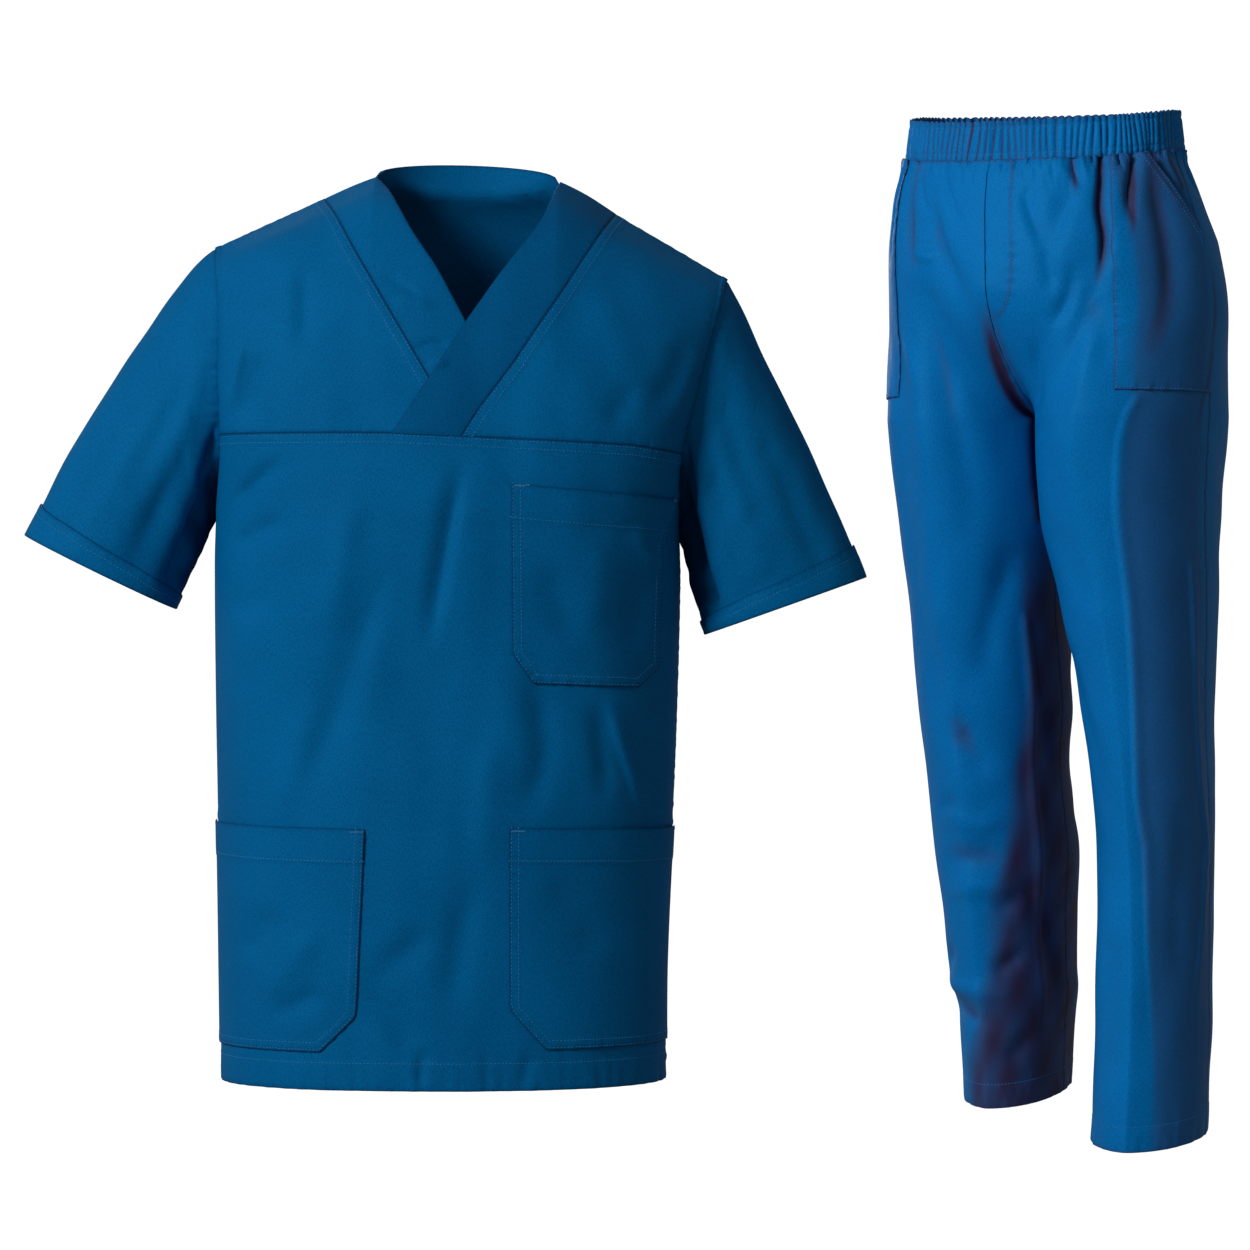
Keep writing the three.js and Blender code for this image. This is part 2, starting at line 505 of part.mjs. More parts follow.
// Sleeves: a tube from the armhole's edge to the cuff. around is 0 at the underarm and 0.5 at the shoulder.
function sleeveSurface(side) {
  const cuff = CUFFS[side];
  const away = side === 'left' ? 1 : -1;
  const outer = new THREE.Vector3(cuff.outerX, 0, cuff.outerZ);
  const inner = new THREE.Vector3(cuff.innerX, 0, cuff.innerZ);
  const centre = outer.clone().add(inner).multiplyScalar(0.5).setY(cuff.centreY);
  const width = inner.clone().sub(outer).multiplyScalar(0.5);
  const axis = new THREE.Vector3(-width.z, 0, width.x).normalize().multiplyScalar(away);
  const girth = 390;
  const length = 270;
  return (around, along) => {
    const turn = around - Math.floor(around);
    const rise = turn < 0.5 ? turn * 2 : 2 - turn * 2;
    const face = turn < 0.5 ? 'front' : 'back';
    const start = torso(face, away, 1 + Math.min(rise, 0.9999));
    start.x += away * mix(SLEEVE_GAP.underarm, SLEEVE_GAP.cap, Math.min(1, rise * 5));
    const angle = turn * 2 * Math.PI;
    const end = centre.clone().addScaledVector(width, Math.cos(angle));
    end.y -= cuff.halfDepth * Math.sin(angle);
    const cap = new THREE.Vector3(cuff.capX, 0, cuff.capZ).lerp(axis, 1 - smooth(rise)).normalize();
    const curve = new THREE.CubicBezierCurve3(
      start,
      start.clone().addScaledVector(cap, mix(30, 50, rise)),
      end.clone().addScaledVector(axis, -mix(40, 90, rise)),
      end,
    );
    const point = curve.getPoint(clamp(along, 0, 1));
    const lift = SLEEVE_FOLDS.reduce((sum, f) => sum + foldLift(
      turn * girth, along * length, f.around0 * girth, f.along0 * length,
      f.around1 * girth, f.along1 * length, f.width, f.depth,
    ), 0);
    const radial = point.clone().sub(centre);
    radial.addScaledVector(axis, -radial.dot(axis)).normalize();
    return point.addScaledVector(radial, lift * smooth(clamp(Math.min(along, 1 - along) * 7, 0, 1)));
  };
}

function buildSleeve(side) {
  const surface = sleeveSurface(side);
  const flip = side === 'left';
  const turned = flip ? -1 : 1;
  const us = Array.from({ length: SLEEVE_COLUMNS }, (_, i) => i / SLEEVE_COLUMNS);
  const cuffShare = 1 - CUFF_WIDTH / 285;
  const vs = Array.from({ length: SLEEVE_ROWS }, (_, j) => cuffShare * j / (SLEEVE_ROWS - 1));
  vs[0] = 0.002;
  const end = 0.998;
  const sleeve = clothGrid(surface, us, [...vs, end], 1e-3, 1e-3, turned);
  const cuff = clothGrid(surface, us, [cuffShare, end], 1e-3, 1e-3, turned);
  addPiece(group, `sleeve_${side}`, clothWall(sleeve, 0, CLOTH, { tube: true, flip }), topMaterial());
  const turnUp = clothWall(cuff, LAYER, LAYER + CLOTH + HEM_FOLD, { tube: true, flip });
  addPiece(group, `cuff_${side}`, turnUp, topMaterial());
}

// Trousers: one leg's cloth from the waist down, in the trousers' own frame. around is 0 at the centre front and
// the inseam, 0.5 at the outseam and 1 at the centre back.
function legSurface(side, around, z) {
  const away = side === 'left' ? 1 : -1;
  const hip = (column) => readTable(HIPS, 'z', clamp(z, HIPS[HIPS.length - 1].z, HIPS[0].z), column);
  const leg = (column) => readTable(LEGS[side], 'z', Math.min(z, CROTCH_Z), column);
  const angle = Math.PI * around;
  const hipDepth = around < 0.5 ? hip('front') : hip('back');
  const hipX = hip('x') + away * (GAP / 2 + hip('half') * Math.max(Math.sin(angle), 0) ** (2 / HIP_ROUNDNESS));
  const hipY = hip('y') - hipDepth * power(Math.cos(angle), 2 / HIP_ROUNDNESS);
  const creaseAt = Math.min(Math.abs(around - 0.25), Math.abs(around - 0.75));
  const crease = CREASE * Math.exp(-((creaseAt / 0.035) ** 2));
  const legX = -away * leg('across') * Math.cos(2 * angle);
  const legY = -(leg('fore') + crease) * Math.sin(2 * angle);
  const turn = THREE.MathUtils.degToRad(leg('turn'));
  const turnedX = leg('x') + legX * Math.cos(turn) - legY * Math.sin(turn);
  const turnedY = leg('y') + legX * Math.sin(turn) + legY * Math.cos(turn);
  const fork = clamp((FORK_Z - z) / (FORK_Z - CROTCH_Z), 0, 1);
  const atEdge = Math.exp(-((Math.min(around, 1 - around) / 0.15) ** 2));
  const seamMorph = 1 - (1 - fork ** FORK_ROUNDNESS) ** (1 / FORK_ROUNDNESS);
  const sideMorph = smooth(clamp((FORK_Z + 50 - z) / 210, 0, 1));
  const morph = mix(sideMorph, seamMorph, atEdge);
  const point = new THREE.Vector3(mix(hipX, turnedX, morph), mix(hipY, turnedY, morph), z);
  const girth = mix(480, mix(610, 395, clamp((CROTCH_Z - z) / 400, 0, 1)), sideMorph);
  const lift = LEG_FOLDS[side].reduce((sum, f) => sum + foldLift(
    around * girth, z, f.around0 * girth, f.z0, f.around1 * girth, f.z1, f.width, f.depth,
  ), 0);
  const out = new THREE.Vector2(point.x - mix(hip('x'), leg('x'), morph), point.y - mix(hip('y'), leg('y'), morph));
  out.normalize().multiplyScalar(lift * Math.min(1, 14 * Math.min(around, 1 - around)));
  point.x += out.x;
  point.y += out.y;
  return point;
}

// How far the waist lies below its mean height at a place around one leg's half.
function waistDrop(side, around) {
  const forward = Math.cos(Math.PI * around);
  const along = forward > 0 ? WAIST_DROP.front : WAIST_DROP.back;
  return along * Math.abs(forward) + WAIST_DROP[side] * Math.sin(Math.PI * around);
}

// The height of a row of the leg at a place around it: rows follow the waist at the top and the hem below.
function legZ(side, around, row) {
  const waist = WAIST_Z - BAND_HEIGHT - WAIST_SEAM - waistDrop(side, around);
  const { front, back } = LEG_HEMS[side];
  const hem = (front + back) / 2 + (front - back) / 2 * Math.sin(2 * Math.PI * around);
  if (row <= 1) return mix(waist, FORK_Z, row);
  if (row <= 2) return mix(FORK_Z, CROTCH_Z, Math.sin((row - 1) * Math.PI / 2));
  return mix(CROTCH_Z, hem, row - 2);
}

function legRows(side) {
  const hemShare = 1 - LEG_HEM_DEPTH / (CROTCH_Z - LEG_HEMS[side].back);
  const thigh = [0.05, 0.11, 0.18, 0.26, 0.34, 0.42, 0.51, 0.6, 0.69, 0.77, 0.8, 0.825, 0.85, 0.88, 0.93];
  const knee = side === 'left' ? thigh.filter((share) => share < 0.78 || share === 0.85) : thigh;
  return [
    ...[0, 0.15, 0.32, 0.55, 0.78, 1, 1.2, 1.4, 1.6, 1.8, 2],
    ...[...knee, hemShare, 1].map((share) => 2 + share),
  ];
}

function legGrid(side, arounds) {
  const away = side === 'left' ? 1 : -1;
  const surface = (around, row) => legSurface(side, around, legZ(side, around, row));
  return clothGrid(surface, arounds, legRows(side), 1e-4, 1e-4, -away);
}

// Keeps the cloth of a leg on its own side of the middle seam.
function keepSide(side) {
  const away = side === 'left' ? 1 : -1;
  const lowest = HIPS[HIPS.length - 1].z;
  return (q) => {
    const middle = readTable(HIPS, 'z', clamp(q.z, lowest, WAIST_Z), 'x');
    q.x = middle + away * Math.max(away * (q.x - middle), GAP / 2);
  };
}

function buildLeg(trousers, side) {
  const seam = 0.0004;
  const { toPocket, pocket: overPocket } = LEG_COLUMNS;
  const edge = (row) => readTable(POCKET_EDGE, 'z', legZ(side, 0.3, row), 'around');
  const frontArounds = [
    ...Array.from({ length: toPocket }, (_, i) => (row) => mix(seam, edge(row), i / toPocket)),
    ...Array.from({ length: overPocket + 1 }, (_, i) => (row) => mix(edge(row), 0.5 - seam, i / overPocket)),
  ];
  const backArounds = Array.from({ length: LEG_COLUMNS.back + 1 }, (_, i) => (
    mix(0.5 + seam, 1 - seam, i / LEG_COLUMNS.back)
  ));
  const flip = side === 'left';
  const fold = (point) => (point.v >= legRows(side).at(-2) - 1e-6 ? -HEM_FOLD : 0);
  const keep = keepSide(side);
  const front = legGrid(side, frontArounds);
  const back = legGrid(side, backArounds);
  addPiece(trousers, `leg_front_${side}`, clothWall(front, fold, CLOTH, { flip, keep }), trouserMaterial());
  addPiece(trousers, `leg_back_${side}`, clothWall(back, fold, CLOTH, { flip, keep }), trouserMaterial());

  // The slant pocket lies on the front panel, from its inner edge to the outseam, and is cut away at the mouth.
  const rows = legRows(side).filter((row) => row <= 2);
  const surface = (around, row) => legSurface(side, around, legZ(side, around, row));
  const away = side === 'left' ? 1 : -1;
  const patch = clothGrid(surface, frontArounds.slice(toPocket), rows, 1e-4, 1e-4, -away);
  const wall = toSolid(clothWall(patch, LAYER, LAYER + CLOTH, { flip }));
  const mouth = legSurface(side, SLANT_POCKET.mouthTop, WAIST_Z - BAND_HEIGHT);
  const end = { y: 40, z: SLANT_POCKET.mouthEndZ };
  const slope = (mouth.z - end.z) / (mouth.y - 0);
  const cutMouth = sidePrism([
    [mouth.y - 30 / slope - 8, mouth.z + 30], [end.y + 40, mouth.z + 30], [end.y + 40, end.z - 40 * 0.4], [0, end.z],
    [mouth.y, mouth.z],
  ], away > 0 ? 0 : -PRISM);
  const cutBottom = sidePrism([[-300, -400], [300, -400], [300, SLANT_POCKET.bottomZ], [-300, SLANT_POCKET.bottomZ]],
    away > 0 ? 0 : -PRISM);
  const pocket = largest(wall.subtract(cutMouth).subtract(cutBottom));
  addPiece(trousers, `slant_pocket_${side}`, toGeometry(pocket), trouserMaterial());
}

// Waistband: a casing gathered on its elastic, with an even wave between two flatter edges.
function buildWaistband(trousers) {
  const columns = GATHERS * 2;
  const us = Array.from({ length: columns }, (_, i) => i / columns);
  const surface = (turn, height) => {
    const share = turn - Math.floor(turn);
    const side = share < 0.5 ? 'left' : 'right';
    const around = share < 0.5 ? share * 2 : 2 - share * 2;
    const point = legSurface(side, clamp(around, 0.0002, 0.9998), WAIST_Z - BAND_HEIGHT * (1 - height));
    const hip = legSurface(side, clamp(around, 0.0002, 0.9998), WAIST_Z - BAND_HEIGHT);
    point.x = mix(hip.x, point.x, 0.8);
    point.z -= waistDrop(side, around);
    return point;
  };
  const grid = clothGrid(surface, us, [0, 0.3, 0.72, 1], 4e-3, 1e-3);
  grid.forEach((row) => row.forEach((point, i) => {
    const rim = 1 - 0.55 * Math.abs(point.v * 2 - 1) ** 2;
    point.p.addScaledVector(point.n, (i % 2 ? 1 : -1) * GATHER_DEPTH / 2 * rim);
  }));
  addPiece(trousers, 'waistband', clothWall(grid, -1, CLOTH, { tube: true }), trouserMaterial());
}

buildTopFront();
Object.entries(POCKETS).forEach(([name, pocket]) => buildPocket(name, pocket));
buildBack();
buildSleeve('right');
buildSleeve('left');

const trousers = new THREE.Group();
trousers.position.set(TROUSERS.x, TROUSERS.y, 0);
trousers.rotation.z = THREE.MathUtils.degToRad(TROUSERS.turn);
group.add(trousers);
buildLeg(trousers, 'left');
buildLeg(trousers, 'right');
buildWaistband(trousers);

export default group;
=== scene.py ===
"""Medical scrubs in blue twill, worn by nobody: a crossed V-neck top and pull-on trousers.

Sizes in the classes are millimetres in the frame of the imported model, with +Z up, the fronts towards -Y
and the wearer's left towards +X. Meshes are written in metres.
"""
import json
import logging
import math
from dataclasses import dataclass, field
from enum import Enum
from typing import Callable, Optional

import bpy
import numpy as np
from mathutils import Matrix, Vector
from mathutils.bvhtree import BVHTree

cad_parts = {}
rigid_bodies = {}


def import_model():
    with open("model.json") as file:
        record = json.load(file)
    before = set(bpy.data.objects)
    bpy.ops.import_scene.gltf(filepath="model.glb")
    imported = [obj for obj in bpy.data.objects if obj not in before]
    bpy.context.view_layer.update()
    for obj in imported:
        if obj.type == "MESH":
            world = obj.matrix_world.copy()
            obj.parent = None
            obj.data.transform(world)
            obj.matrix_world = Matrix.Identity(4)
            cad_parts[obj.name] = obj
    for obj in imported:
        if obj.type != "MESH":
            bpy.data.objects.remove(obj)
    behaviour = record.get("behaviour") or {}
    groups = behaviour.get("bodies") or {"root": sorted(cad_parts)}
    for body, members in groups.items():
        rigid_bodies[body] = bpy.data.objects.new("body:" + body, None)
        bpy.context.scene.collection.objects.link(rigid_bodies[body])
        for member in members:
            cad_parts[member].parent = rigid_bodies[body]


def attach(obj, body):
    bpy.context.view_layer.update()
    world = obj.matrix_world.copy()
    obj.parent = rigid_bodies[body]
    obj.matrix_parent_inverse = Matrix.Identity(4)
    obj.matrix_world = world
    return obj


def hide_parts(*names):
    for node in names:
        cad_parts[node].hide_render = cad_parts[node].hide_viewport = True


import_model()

LOG = logging.getLogger("scrubs")
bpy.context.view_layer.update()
MM = 0.001
Cloud = np.ndarray


def mix(a: Cloud, b: Cloud, share: Cloud) -> Cloud:
    """Blend from a to b by a share."""
    return a + (b - a) * share


def smooth(share: Cloud) -> Cloud:
    """Ease a share in and out between 0 and 1."""
    share = np.clip(share, 0.0, 1.0)
    return share * share * (3 - 2 * share)


def power(value: Cloud, exponent: float) -> Cloud:
    """Raise to a power and keep the sign."""
    return np.sign(value) * np.abs(value) ** exponent


def pair(a: Cloud, b: Cloud) -> Cloud:
    """Rows of two coordinates."""
    return np.stack([a, b], axis=1)


def unit(vectors: Cloud) -> Cloud:
    """Scale vectors to length 1."""
    return vectors / np.maximum(np.linalg.norm(vectors, axis=-1, keepdims=True), 1e-12)


def resample(line: Cloud, step: float, closed: bool = False) -> Cloud:
    """Place points at even steps along a line.

    Args:
        line: Points of the line, one per row.
        step: Distance between the new points.
        closed: Whether the line returns to its first point.

    Returns:
        The new points.
    """
    if closed:
        line = np.vstack([line, line[:1]])
    gaps = np.linalg.norm(np.diff(line, axis=0), axis=1)
    run = np.concatenate([[0.0], np.cumsum(gaps)])
    count = max(2, int(round(run[-1] / step)) + 1)
    at = np.linspace(0.0, run[-1], count)
    out = np.stack([np.interp(at, run, line[:, k]) for k in range(line.shape[1])], axis=1)
    return out[:-1] if closed else out


def near_line(points: Cloud, line: Cloud) -> tuple[Cloud, Cloud]:
    """Measure how far points lie from a line, and how far along it.

    Args:
        points: Points, shaped (n, k).
        line: Points of the line, shaped (m, k).

    Returns:
        The distances, and the lengths along the line at the nearest places.
    """
    best = np.full(len(points), np.inf)
    run = np.zeros(len(points))
    start = 0.0
    for a, b in zip(line[:-1], line[1:]):
        ab = b - a
        length = float(np.sqrt(ab @ ab))
        if length < 1e-9:
            continue
        t = np.clip(((points - a) @ ab) / length ** 2, 0.0, 1.0)
        gap = points - a - t[:, None] * ab
        distance = np.sqrt(np.einsum("ij,ij->i", gap, gap))
        closer = distance < best
        best[closer] = distance[closer]
        run[closer] = start + t[closer] * length
        start += length
    return best, run


def spaced(length: float, step: float, low: tuple = (), high: tuple = ()) -> Cloud:
    """Shares of a length for grid lines: fine beside both ends and sewn rows, an even number of gaps.

    Args:
        length: Length that the lines cover.
        step: Wanted distance between lines in the middle.
        low: Distances of sewn rows from the start.
        high: Distances of sewn rows from the end.

    Returns:
        Shares from 0 to 1.
    """
    edge = np.array([0.0, 0.45, 1.1])
    fixed = [edge, length - edge]
    for row in low:
        fixed.append(row + np.array([-0.9, 0.0, 0.9]))
    for row in high:
        fixed.append(length - row + np.array([-0.9, 0.0, 0.9]))
    fixed = np.unique(np.round(np.concatenate(fixed), 3))
    lines = [0.0]
    for a, b in zip(fixed[:-1], fixed[1:]):
        if b - a < 0.3:
            continue
        count = max(1, int(math.ceil((b - a) / step - 0.2)))
        lines += list(np.linspace(a, b, count + 1)[1:])
    if len(lines) % 2 == 0:
        widest = int(np.argmax(np.diff(lines)))
        lines.insert(widest + 1, (lines[widest] + lines[widest + 1]) / 2)
    return np.array(lines) / length


class Table:
    """Rows of sizes that are read on a smooth curve through them."""

    def __init__(self, key: list[float], **columns: list[float]) -> None:
        """Keep the rows' places and their columns."""
        self.key = np.array(key, dtype=float)
        self.columns = {name: np.array(values, dtype=float) for name, values in columns.items()}

    def read(self, place: Cloud, name: str) -> Cloud:
        """Read one column at places between the rows.

        Args:
            place: Places on the table's key.
            name: Column to read.

        Returns:
            The column's values there.
        """
        key = self.key
        values = self.columns[name]
        last = len(key) - 1
        rising = 1.0 if key[0] < key[-1] else -1.0
        i = np.searchsorted(rising * key[1:-1], rising * np.asarray(place, dtype=float), side="left")
        before = np.maximum(i - 1, 0)
        after = np.minimum(i + 2, last)
        span = key[i + 1] - key[i]
        t = np.clip((place - key[i]) / span, 0.0, 1.0)
        slope_a = (values[i + 1] - values[before]) / (key[i + 1] - key[before]) * span
        slope_b = (values[after] - values[i]) / (key[after] - key[i]) * span
        t2 = t * t
        t3 = t2 * t
        return (values[i] * (2 * t3 - 3 * t2 + 1) + slope_a * (t3 - 2 * t2 + t)
                + values[i + 1] * (3 * t2 - 2 * t3) + slope_b * (t3 - t2))


@dataclass(frozen=True)
class Fold:
    """A main fold: a soft hollow (depth below 0) or ridge between two points of the cloth."""

    x0: float
    z0: float
    x1: float
    z1: float
    width: float
    depth: float

    def lift(self, x: Cloud, z: Cloud) -> Cloud:
        """How far the fold lifts the cloth at points in millimetres on it.

        Args:
            x: Distances across the cloth.
            z: Heights.

        Returns:
            The lift of the cloth there.
        """
        dx = self.x1 - self.x0
        dz = self.z1 - self.z0
        along = np.clip(((x - self.x0) * dx + (z - self.z0) * dz) / (dx * dx + dz * dz), 0.0, 1.0)
        distance = np.hypot(x - self.x0 - along * dx, z - self.z0 - along * dz)
        height = 0.45 + 0.55 * np.sin(np.pi * np.clip(along, 0.12, 0.88))
        return self.depth * np.exp(-(distance / self.width) ** 2) * height


@dataclass(frozen=True)
class Crease:
    """A finer crease on a bent line, steeper on one side and faded at its ends."""

    points: tuple[tuple[float, float], ...]
    width: float
    depth: float
    skew: float = 0.0
    start: float = 0.0
    end: float = 0.0

    def lift(self, x: Cloud, z: Cloud) -> Cloud:
        """How far the crease lifts the cloth at points in millimetres on it.

        Args:
            x: Distances across the cloth.
            z: Heights.

        Returns:
            The lift of the cloth there.
        """
        a, b, c = (np.array(p, dtype=float) for p in self.points)
        control = 2 * b - (a + c) / 2
        t = np.linspace(0.0, 1.0, 9)[:, None]
        line = (1 - t) ** 2 * a + 2 * t * (1 - t) * control + t ** 2 * c
        reach = 3.2 * self.width * (1 + abs(self.skew))
        low = line.min(axis=0) - reach
        high = line.max(axis=0) + reach
        near = (x > low[0]) & (x < high[0]) & (z > low[1]) & (z < high[1])
        out = np.zeros(np.shape(x))
        if not near.any():
            return out
        points = pair(x[near], z[near])
        distance, run = near_line(points, line)
        total = float(np.linalg.norm(np.diff(line, axis=0), axis=1).sum())
        share = run / total
        chord = c - a
        side = np.sign((points[:, 0] - a[0]) * chord[1] - (points[:, 1] - a[1]) * chord[0])
        width = self.width * (1 + self.skew * side)
        fade = smooth(share / 0.35 + self.start) * smooth((1 - share) / 0.35 + self.end)
        out[near] = self.depth * np.exp(-(distance / width) ** 2) * fade
        return out


@dataclass(frozen=True)
class Waves:
    """Soft uneven waves all over the cloth, from many faint ones in mixed directions."""

    seed: int
    short: float
    long: float
    depth: float
    stretch: float = 1.0

    def lift(self, x: Cloud, z: Cloud) -> Cloud:
        """How far the waves lift the cloth at points in millimetres on it.

        Args:
            x: Distances across the cloth.
            z: Heights.

        Returns:
            The lift of the cloth there.
        """
        draw = np.random.default_rng(self.seed)
        total = np.zeros(np.shape(x))
        count = 11
        for _ in range(count):
            length = draw.uniform(self.short, self.long)
            angle = draw.uniform(0.0, np.pi)
            phase = draw.uniform(0.0, 2 * np.pi)
            turn = 2 * np.pi / length
            total += np.sin(turn * (x * math.cos(angle) + z * math.sin(angle) / self.stretch) + phase)
        return self.depth * total / math.sqrt(count)


class Face(Enum):
    """The two faces of the top's body."""

    FRONT = "front"
    BACK = "back"


class Side(Enum):
    """The wearer's sides."""

    RIGHT = -1
    LEFT = 1


class Form:
    """A surface that cloth lies on, with two coordinates of its own."""

    outward = 1.0

    def place(self, u: Cloud, v: Cloud) -> Cloud:
        """Points of the surface."""
        raise NotImplementedError

    def trough(self, u: Cloud, v: Cloud) -> Cloud:
        """How much painted shade the cloth gets there, from 0 to 1; none unless a form adds its own."""
        return np.zeros(np.shape(u))

    def normal(self, u: Cloud, v: Cloud) -> Cloud:
        """Outward normals at points of the surface, by small steps.

        Args:
            u: Places along the form's first coordinate.
            v: Places along the form's second coordinate.

        Returns:
            Unit normals.
        """
        step = 1e-3
        a = self.place(u + step, v) - self.place(u - step, v)
        b = self.place(u, v + step) - self.place(u, v - step)
        return unit(np.cross(a, b)) * self.outward


TOP_ROWS = (2.2, 8.4)
POCKET_ROWS = (1.8, 7.6)
HEM_ROW = 23.5
CUFF_ROW = 8.5
CUFF_HEIGHT = 31.0
TORSO_HEIGHT = 500.0
OPEN_TOP = 1.9995
HEM_Z = -785.0
ARMPIT_LEFT_Z = -284.0
NECK_HALF = 80.0
ROUNDNESS = 2.35
BODY = Table(
    [-785, -680, -541, -454, -332, -292],
    centre=[-20, -20.5, -18.5, -17.5, -16.5, -16.5],
    half=[195, 196, 200, 202.5, 204.5, 203.5],
    front=[134, 137, 139, 140, 140, 138],
    back=[124, 120, 112, 108, 114, 118],
)
ARMHOLE = Table(
    [0, 0.25, 0.5, 0.75, 0.9, 1],
    left=[-220, -213, -213.5, -214, -218, -221.8],
    right=[187, 188, 201, 215, 224, 230],
    edge_front=[0, 42, 54, 46, 27, 0],
    edge_back=[0, 44, 60, 54, 34, 0],
    front=[138, 132, 117, 88, 55, 0],
    back=[118, 122, 118, 100, 66, 0],
)
YOKE_SEAM = np.array([
    [-400, -219], [-220, -220], [-60, -221.5], [0, -224.5], [147, -231], [191, -237], [400, -262],
], dtype=float)


def armpit_z(x: Cloud) -> Cloud:
    """Height of the armpit line across the top."""
    return mix(ARMPIT_LEFT_Z, -300.0, (x + 220.0) / 406.0)


def shoulder_z(x: Cloud) -> Cloud:
    """Height of the shoulder line across the top.

    Args:
        x: Distances across the cloth.

    Returns:
        Heights of the shoulder line.
    """
    low = mix(10.0, -53.0, np.abs((x + NECK_HALF) / (-221.8 + NECK_HALF)) ** 1.04)
    high = mix(5.0, -81.0, np.abs((x - NECK_HALF) / (230.0 - NECK_HALF)) ** 1.04)
    middle = mix(10.0, 5.0, (x + NECK_HALF) / (2 * NECK_HALF))
    return np.where(x < -NECK_HALF, low, np.where(x > NECK_HALF, high, middle))


class TorsoForm(Form):
    """A face of the top's body: across from -1 to 1, height 0 at the hem, 1 at the armpit, 2 on top."""

    def __init__(self, face: Face, lifts: list) -> None:
        """Keep the face and its folds, creases and waves.

        Args:
            face: Front or back.
            lifts: Folds and waves that lift the cloth.
        """
        self.face = face
        self.lifts = lifts
        self.outward = 1.0 if face is Face.FRONT else -1.0
        share = np.linspace(-1.0, 1.0, 1501)
        line = self.bare(share, np.full_like(share, 0.4))
        run = np.concatenate([[0.0], np.cumsum(np.linalg.norm(np.diff(line, axis=0), axis=1))])
        self.width = float(run[-1])
        self.even = (run / run[-1] * 2 - 1, share)

    def bare(self, across: Cloud, height: Cloud) -> Cloud:
        """Points of the surface without its folds.

        Args:
            across: Shares across the body, from -1 to 1.
            height: Heights in the form's own coordinate.

        Returns:
            Points without folds.
        """
        angle = across * np.pi / 2
        side = power(np.sin(angle), 2 / ROUNDNESS)
        depth = np.clip(np.cos(angle), 0.0, None) ** (2 / ROUNDNESS)
        level = mix(HEM_Z, ARMPIT_LEFT_Z, np.minimum(height, 1.0))
        rise = np.clip(height - 1.0, 0.0, 1.0)
        low_x = BODY.read(level, "centre") + BODY.read(level, "half") * side
        left = ARMHOLE.read(rise, "left")
        right = ARMHOLE.read(rise, "right")
        high_x = (left + right) / 2 + (right - left) / 2 * side
        body = height <= 1.0
        x = np.where(body, low_x, high_x)
        name = self.face.value
        neck = np.clip(1 - (x / NECK_HALF) ** 2, 0.0, None)
        top = shoulder_z(x) + (0.0 if self.face is Face.FRONT else 20.0 * neck ** 0.385)
        z = np.where(body, mix(HEM_Z, armpit_z(x), height), mix(armpit_z(x), top, rise))
        edge = ARMHOLE.read(rise, f"edge_{name}")
        high_y = edge + (ARMHOLE.read(rise, name) - edge) * depth
        if self.face is Face.BACK:
            high_y = np.maximum(high_y, 66.0 * np.sqrt(neck) * smooth(rise * 1.6 - 0.6))
        y = np.where(body, BODY.read(level, name) * depth, high_y)
        return np.stack([x, -y * self.outward, z], axis=-1)

    def place(self, u: Cloud, v: Cloud) -> Cloud:
        """Points of the surface with its folds.

        Args:
            u: Places along the form's first coordinate.
            v: Places along the form's second coordinate.

        Returns:
            Points in the frame of the model.
        """
        points = self.bare(u, v)
        calm = np.clip(np.minimum(1 - np.abs(u) ** 8, (2 - v) * 5), 0.0, 1.0)
        x = points[..., 0]
        z = points[..., 2]
        lift = sum(one.lift(x, z) for one in self.lifts)
        points[..., 1] -= self.outward * lift * calm
        return points

    def locate(self, points: Cloud) -> Cloud:
        """Find the surface's own coordinates of points in the front view.

        Args:
            points: Places (x, z), one per row.

        Returns:
            Coordinates (across, height), one per row.
        """
        x = points[:, 0]
        z = points[:, 1]
        armpit = armpit_z(x)
        low = (z - HEM_Z) / (armpit - HEM_Z)
        high = 1 + (z - armpit) / (shoulder_z(x) - armpit)
        height = np.clip(np.where(z <= armpit, low, high), 0.0, OPEN_TOP)
        level = mix(HEM_Z, ARMPIT_LEFT_Z, np.minimum(height, 1.0))
        rise = np.clip(height - 1.0, 0.0, 1.0)
        left = ARMHOLE.read(rise, "left")
        right = ARMHOLE.read(rise, "right")
        body = height <= 1.0
        centre = np.where(body, BODY.read(level, "centre"), (left + right) / 2)
        half = np.where(body, BODY.read(level, "half"), (right - left) / 2)
        side = np.clip((x - centre) / half, -1.0, 1.0)
        across = np.arcsin(np.clip(power(side, ROUNDNESS / 2), -1.0, 1.0)) * 2 / np.pi
        return pair(across, height)

    def seam_share(self, height: Cloud) -> Cloud:
        """Share of the quarter turn where the cloth stops at the side seam, wider in the side vent.

        Args:
            height: Heights in the form's own coordinate.

        Returns:
            Shares of the quarter turn.
        """
        level = mix(HEM_Z, ARMPIT_LEFT_Z, np.minimum(height, 1.0))
        vent = np.clip((HEM_Z + 130.0 - level) / 130.0, 0.0, 1.0)
        gap = np.where(height > 1.0, 0.0, 0.1 + 7.0 * vent ** 1.5)
        return np.arccos((gap / BODY.read(level, self.face.value)) ** (ROUNDNESS / 2)) * 2 / np.pi


@dataclass(frozen=True)
class CuffSize:
    """Where a sleeve's cuff hangs in the front view, and how the sleeve leaves the shoulder."""

    outer: tuple[float, float]
    inner: tuple[float, float]
    cap: tuple[float, float]
    centre_y: float = -6.0
    half_depth: float = 50.0


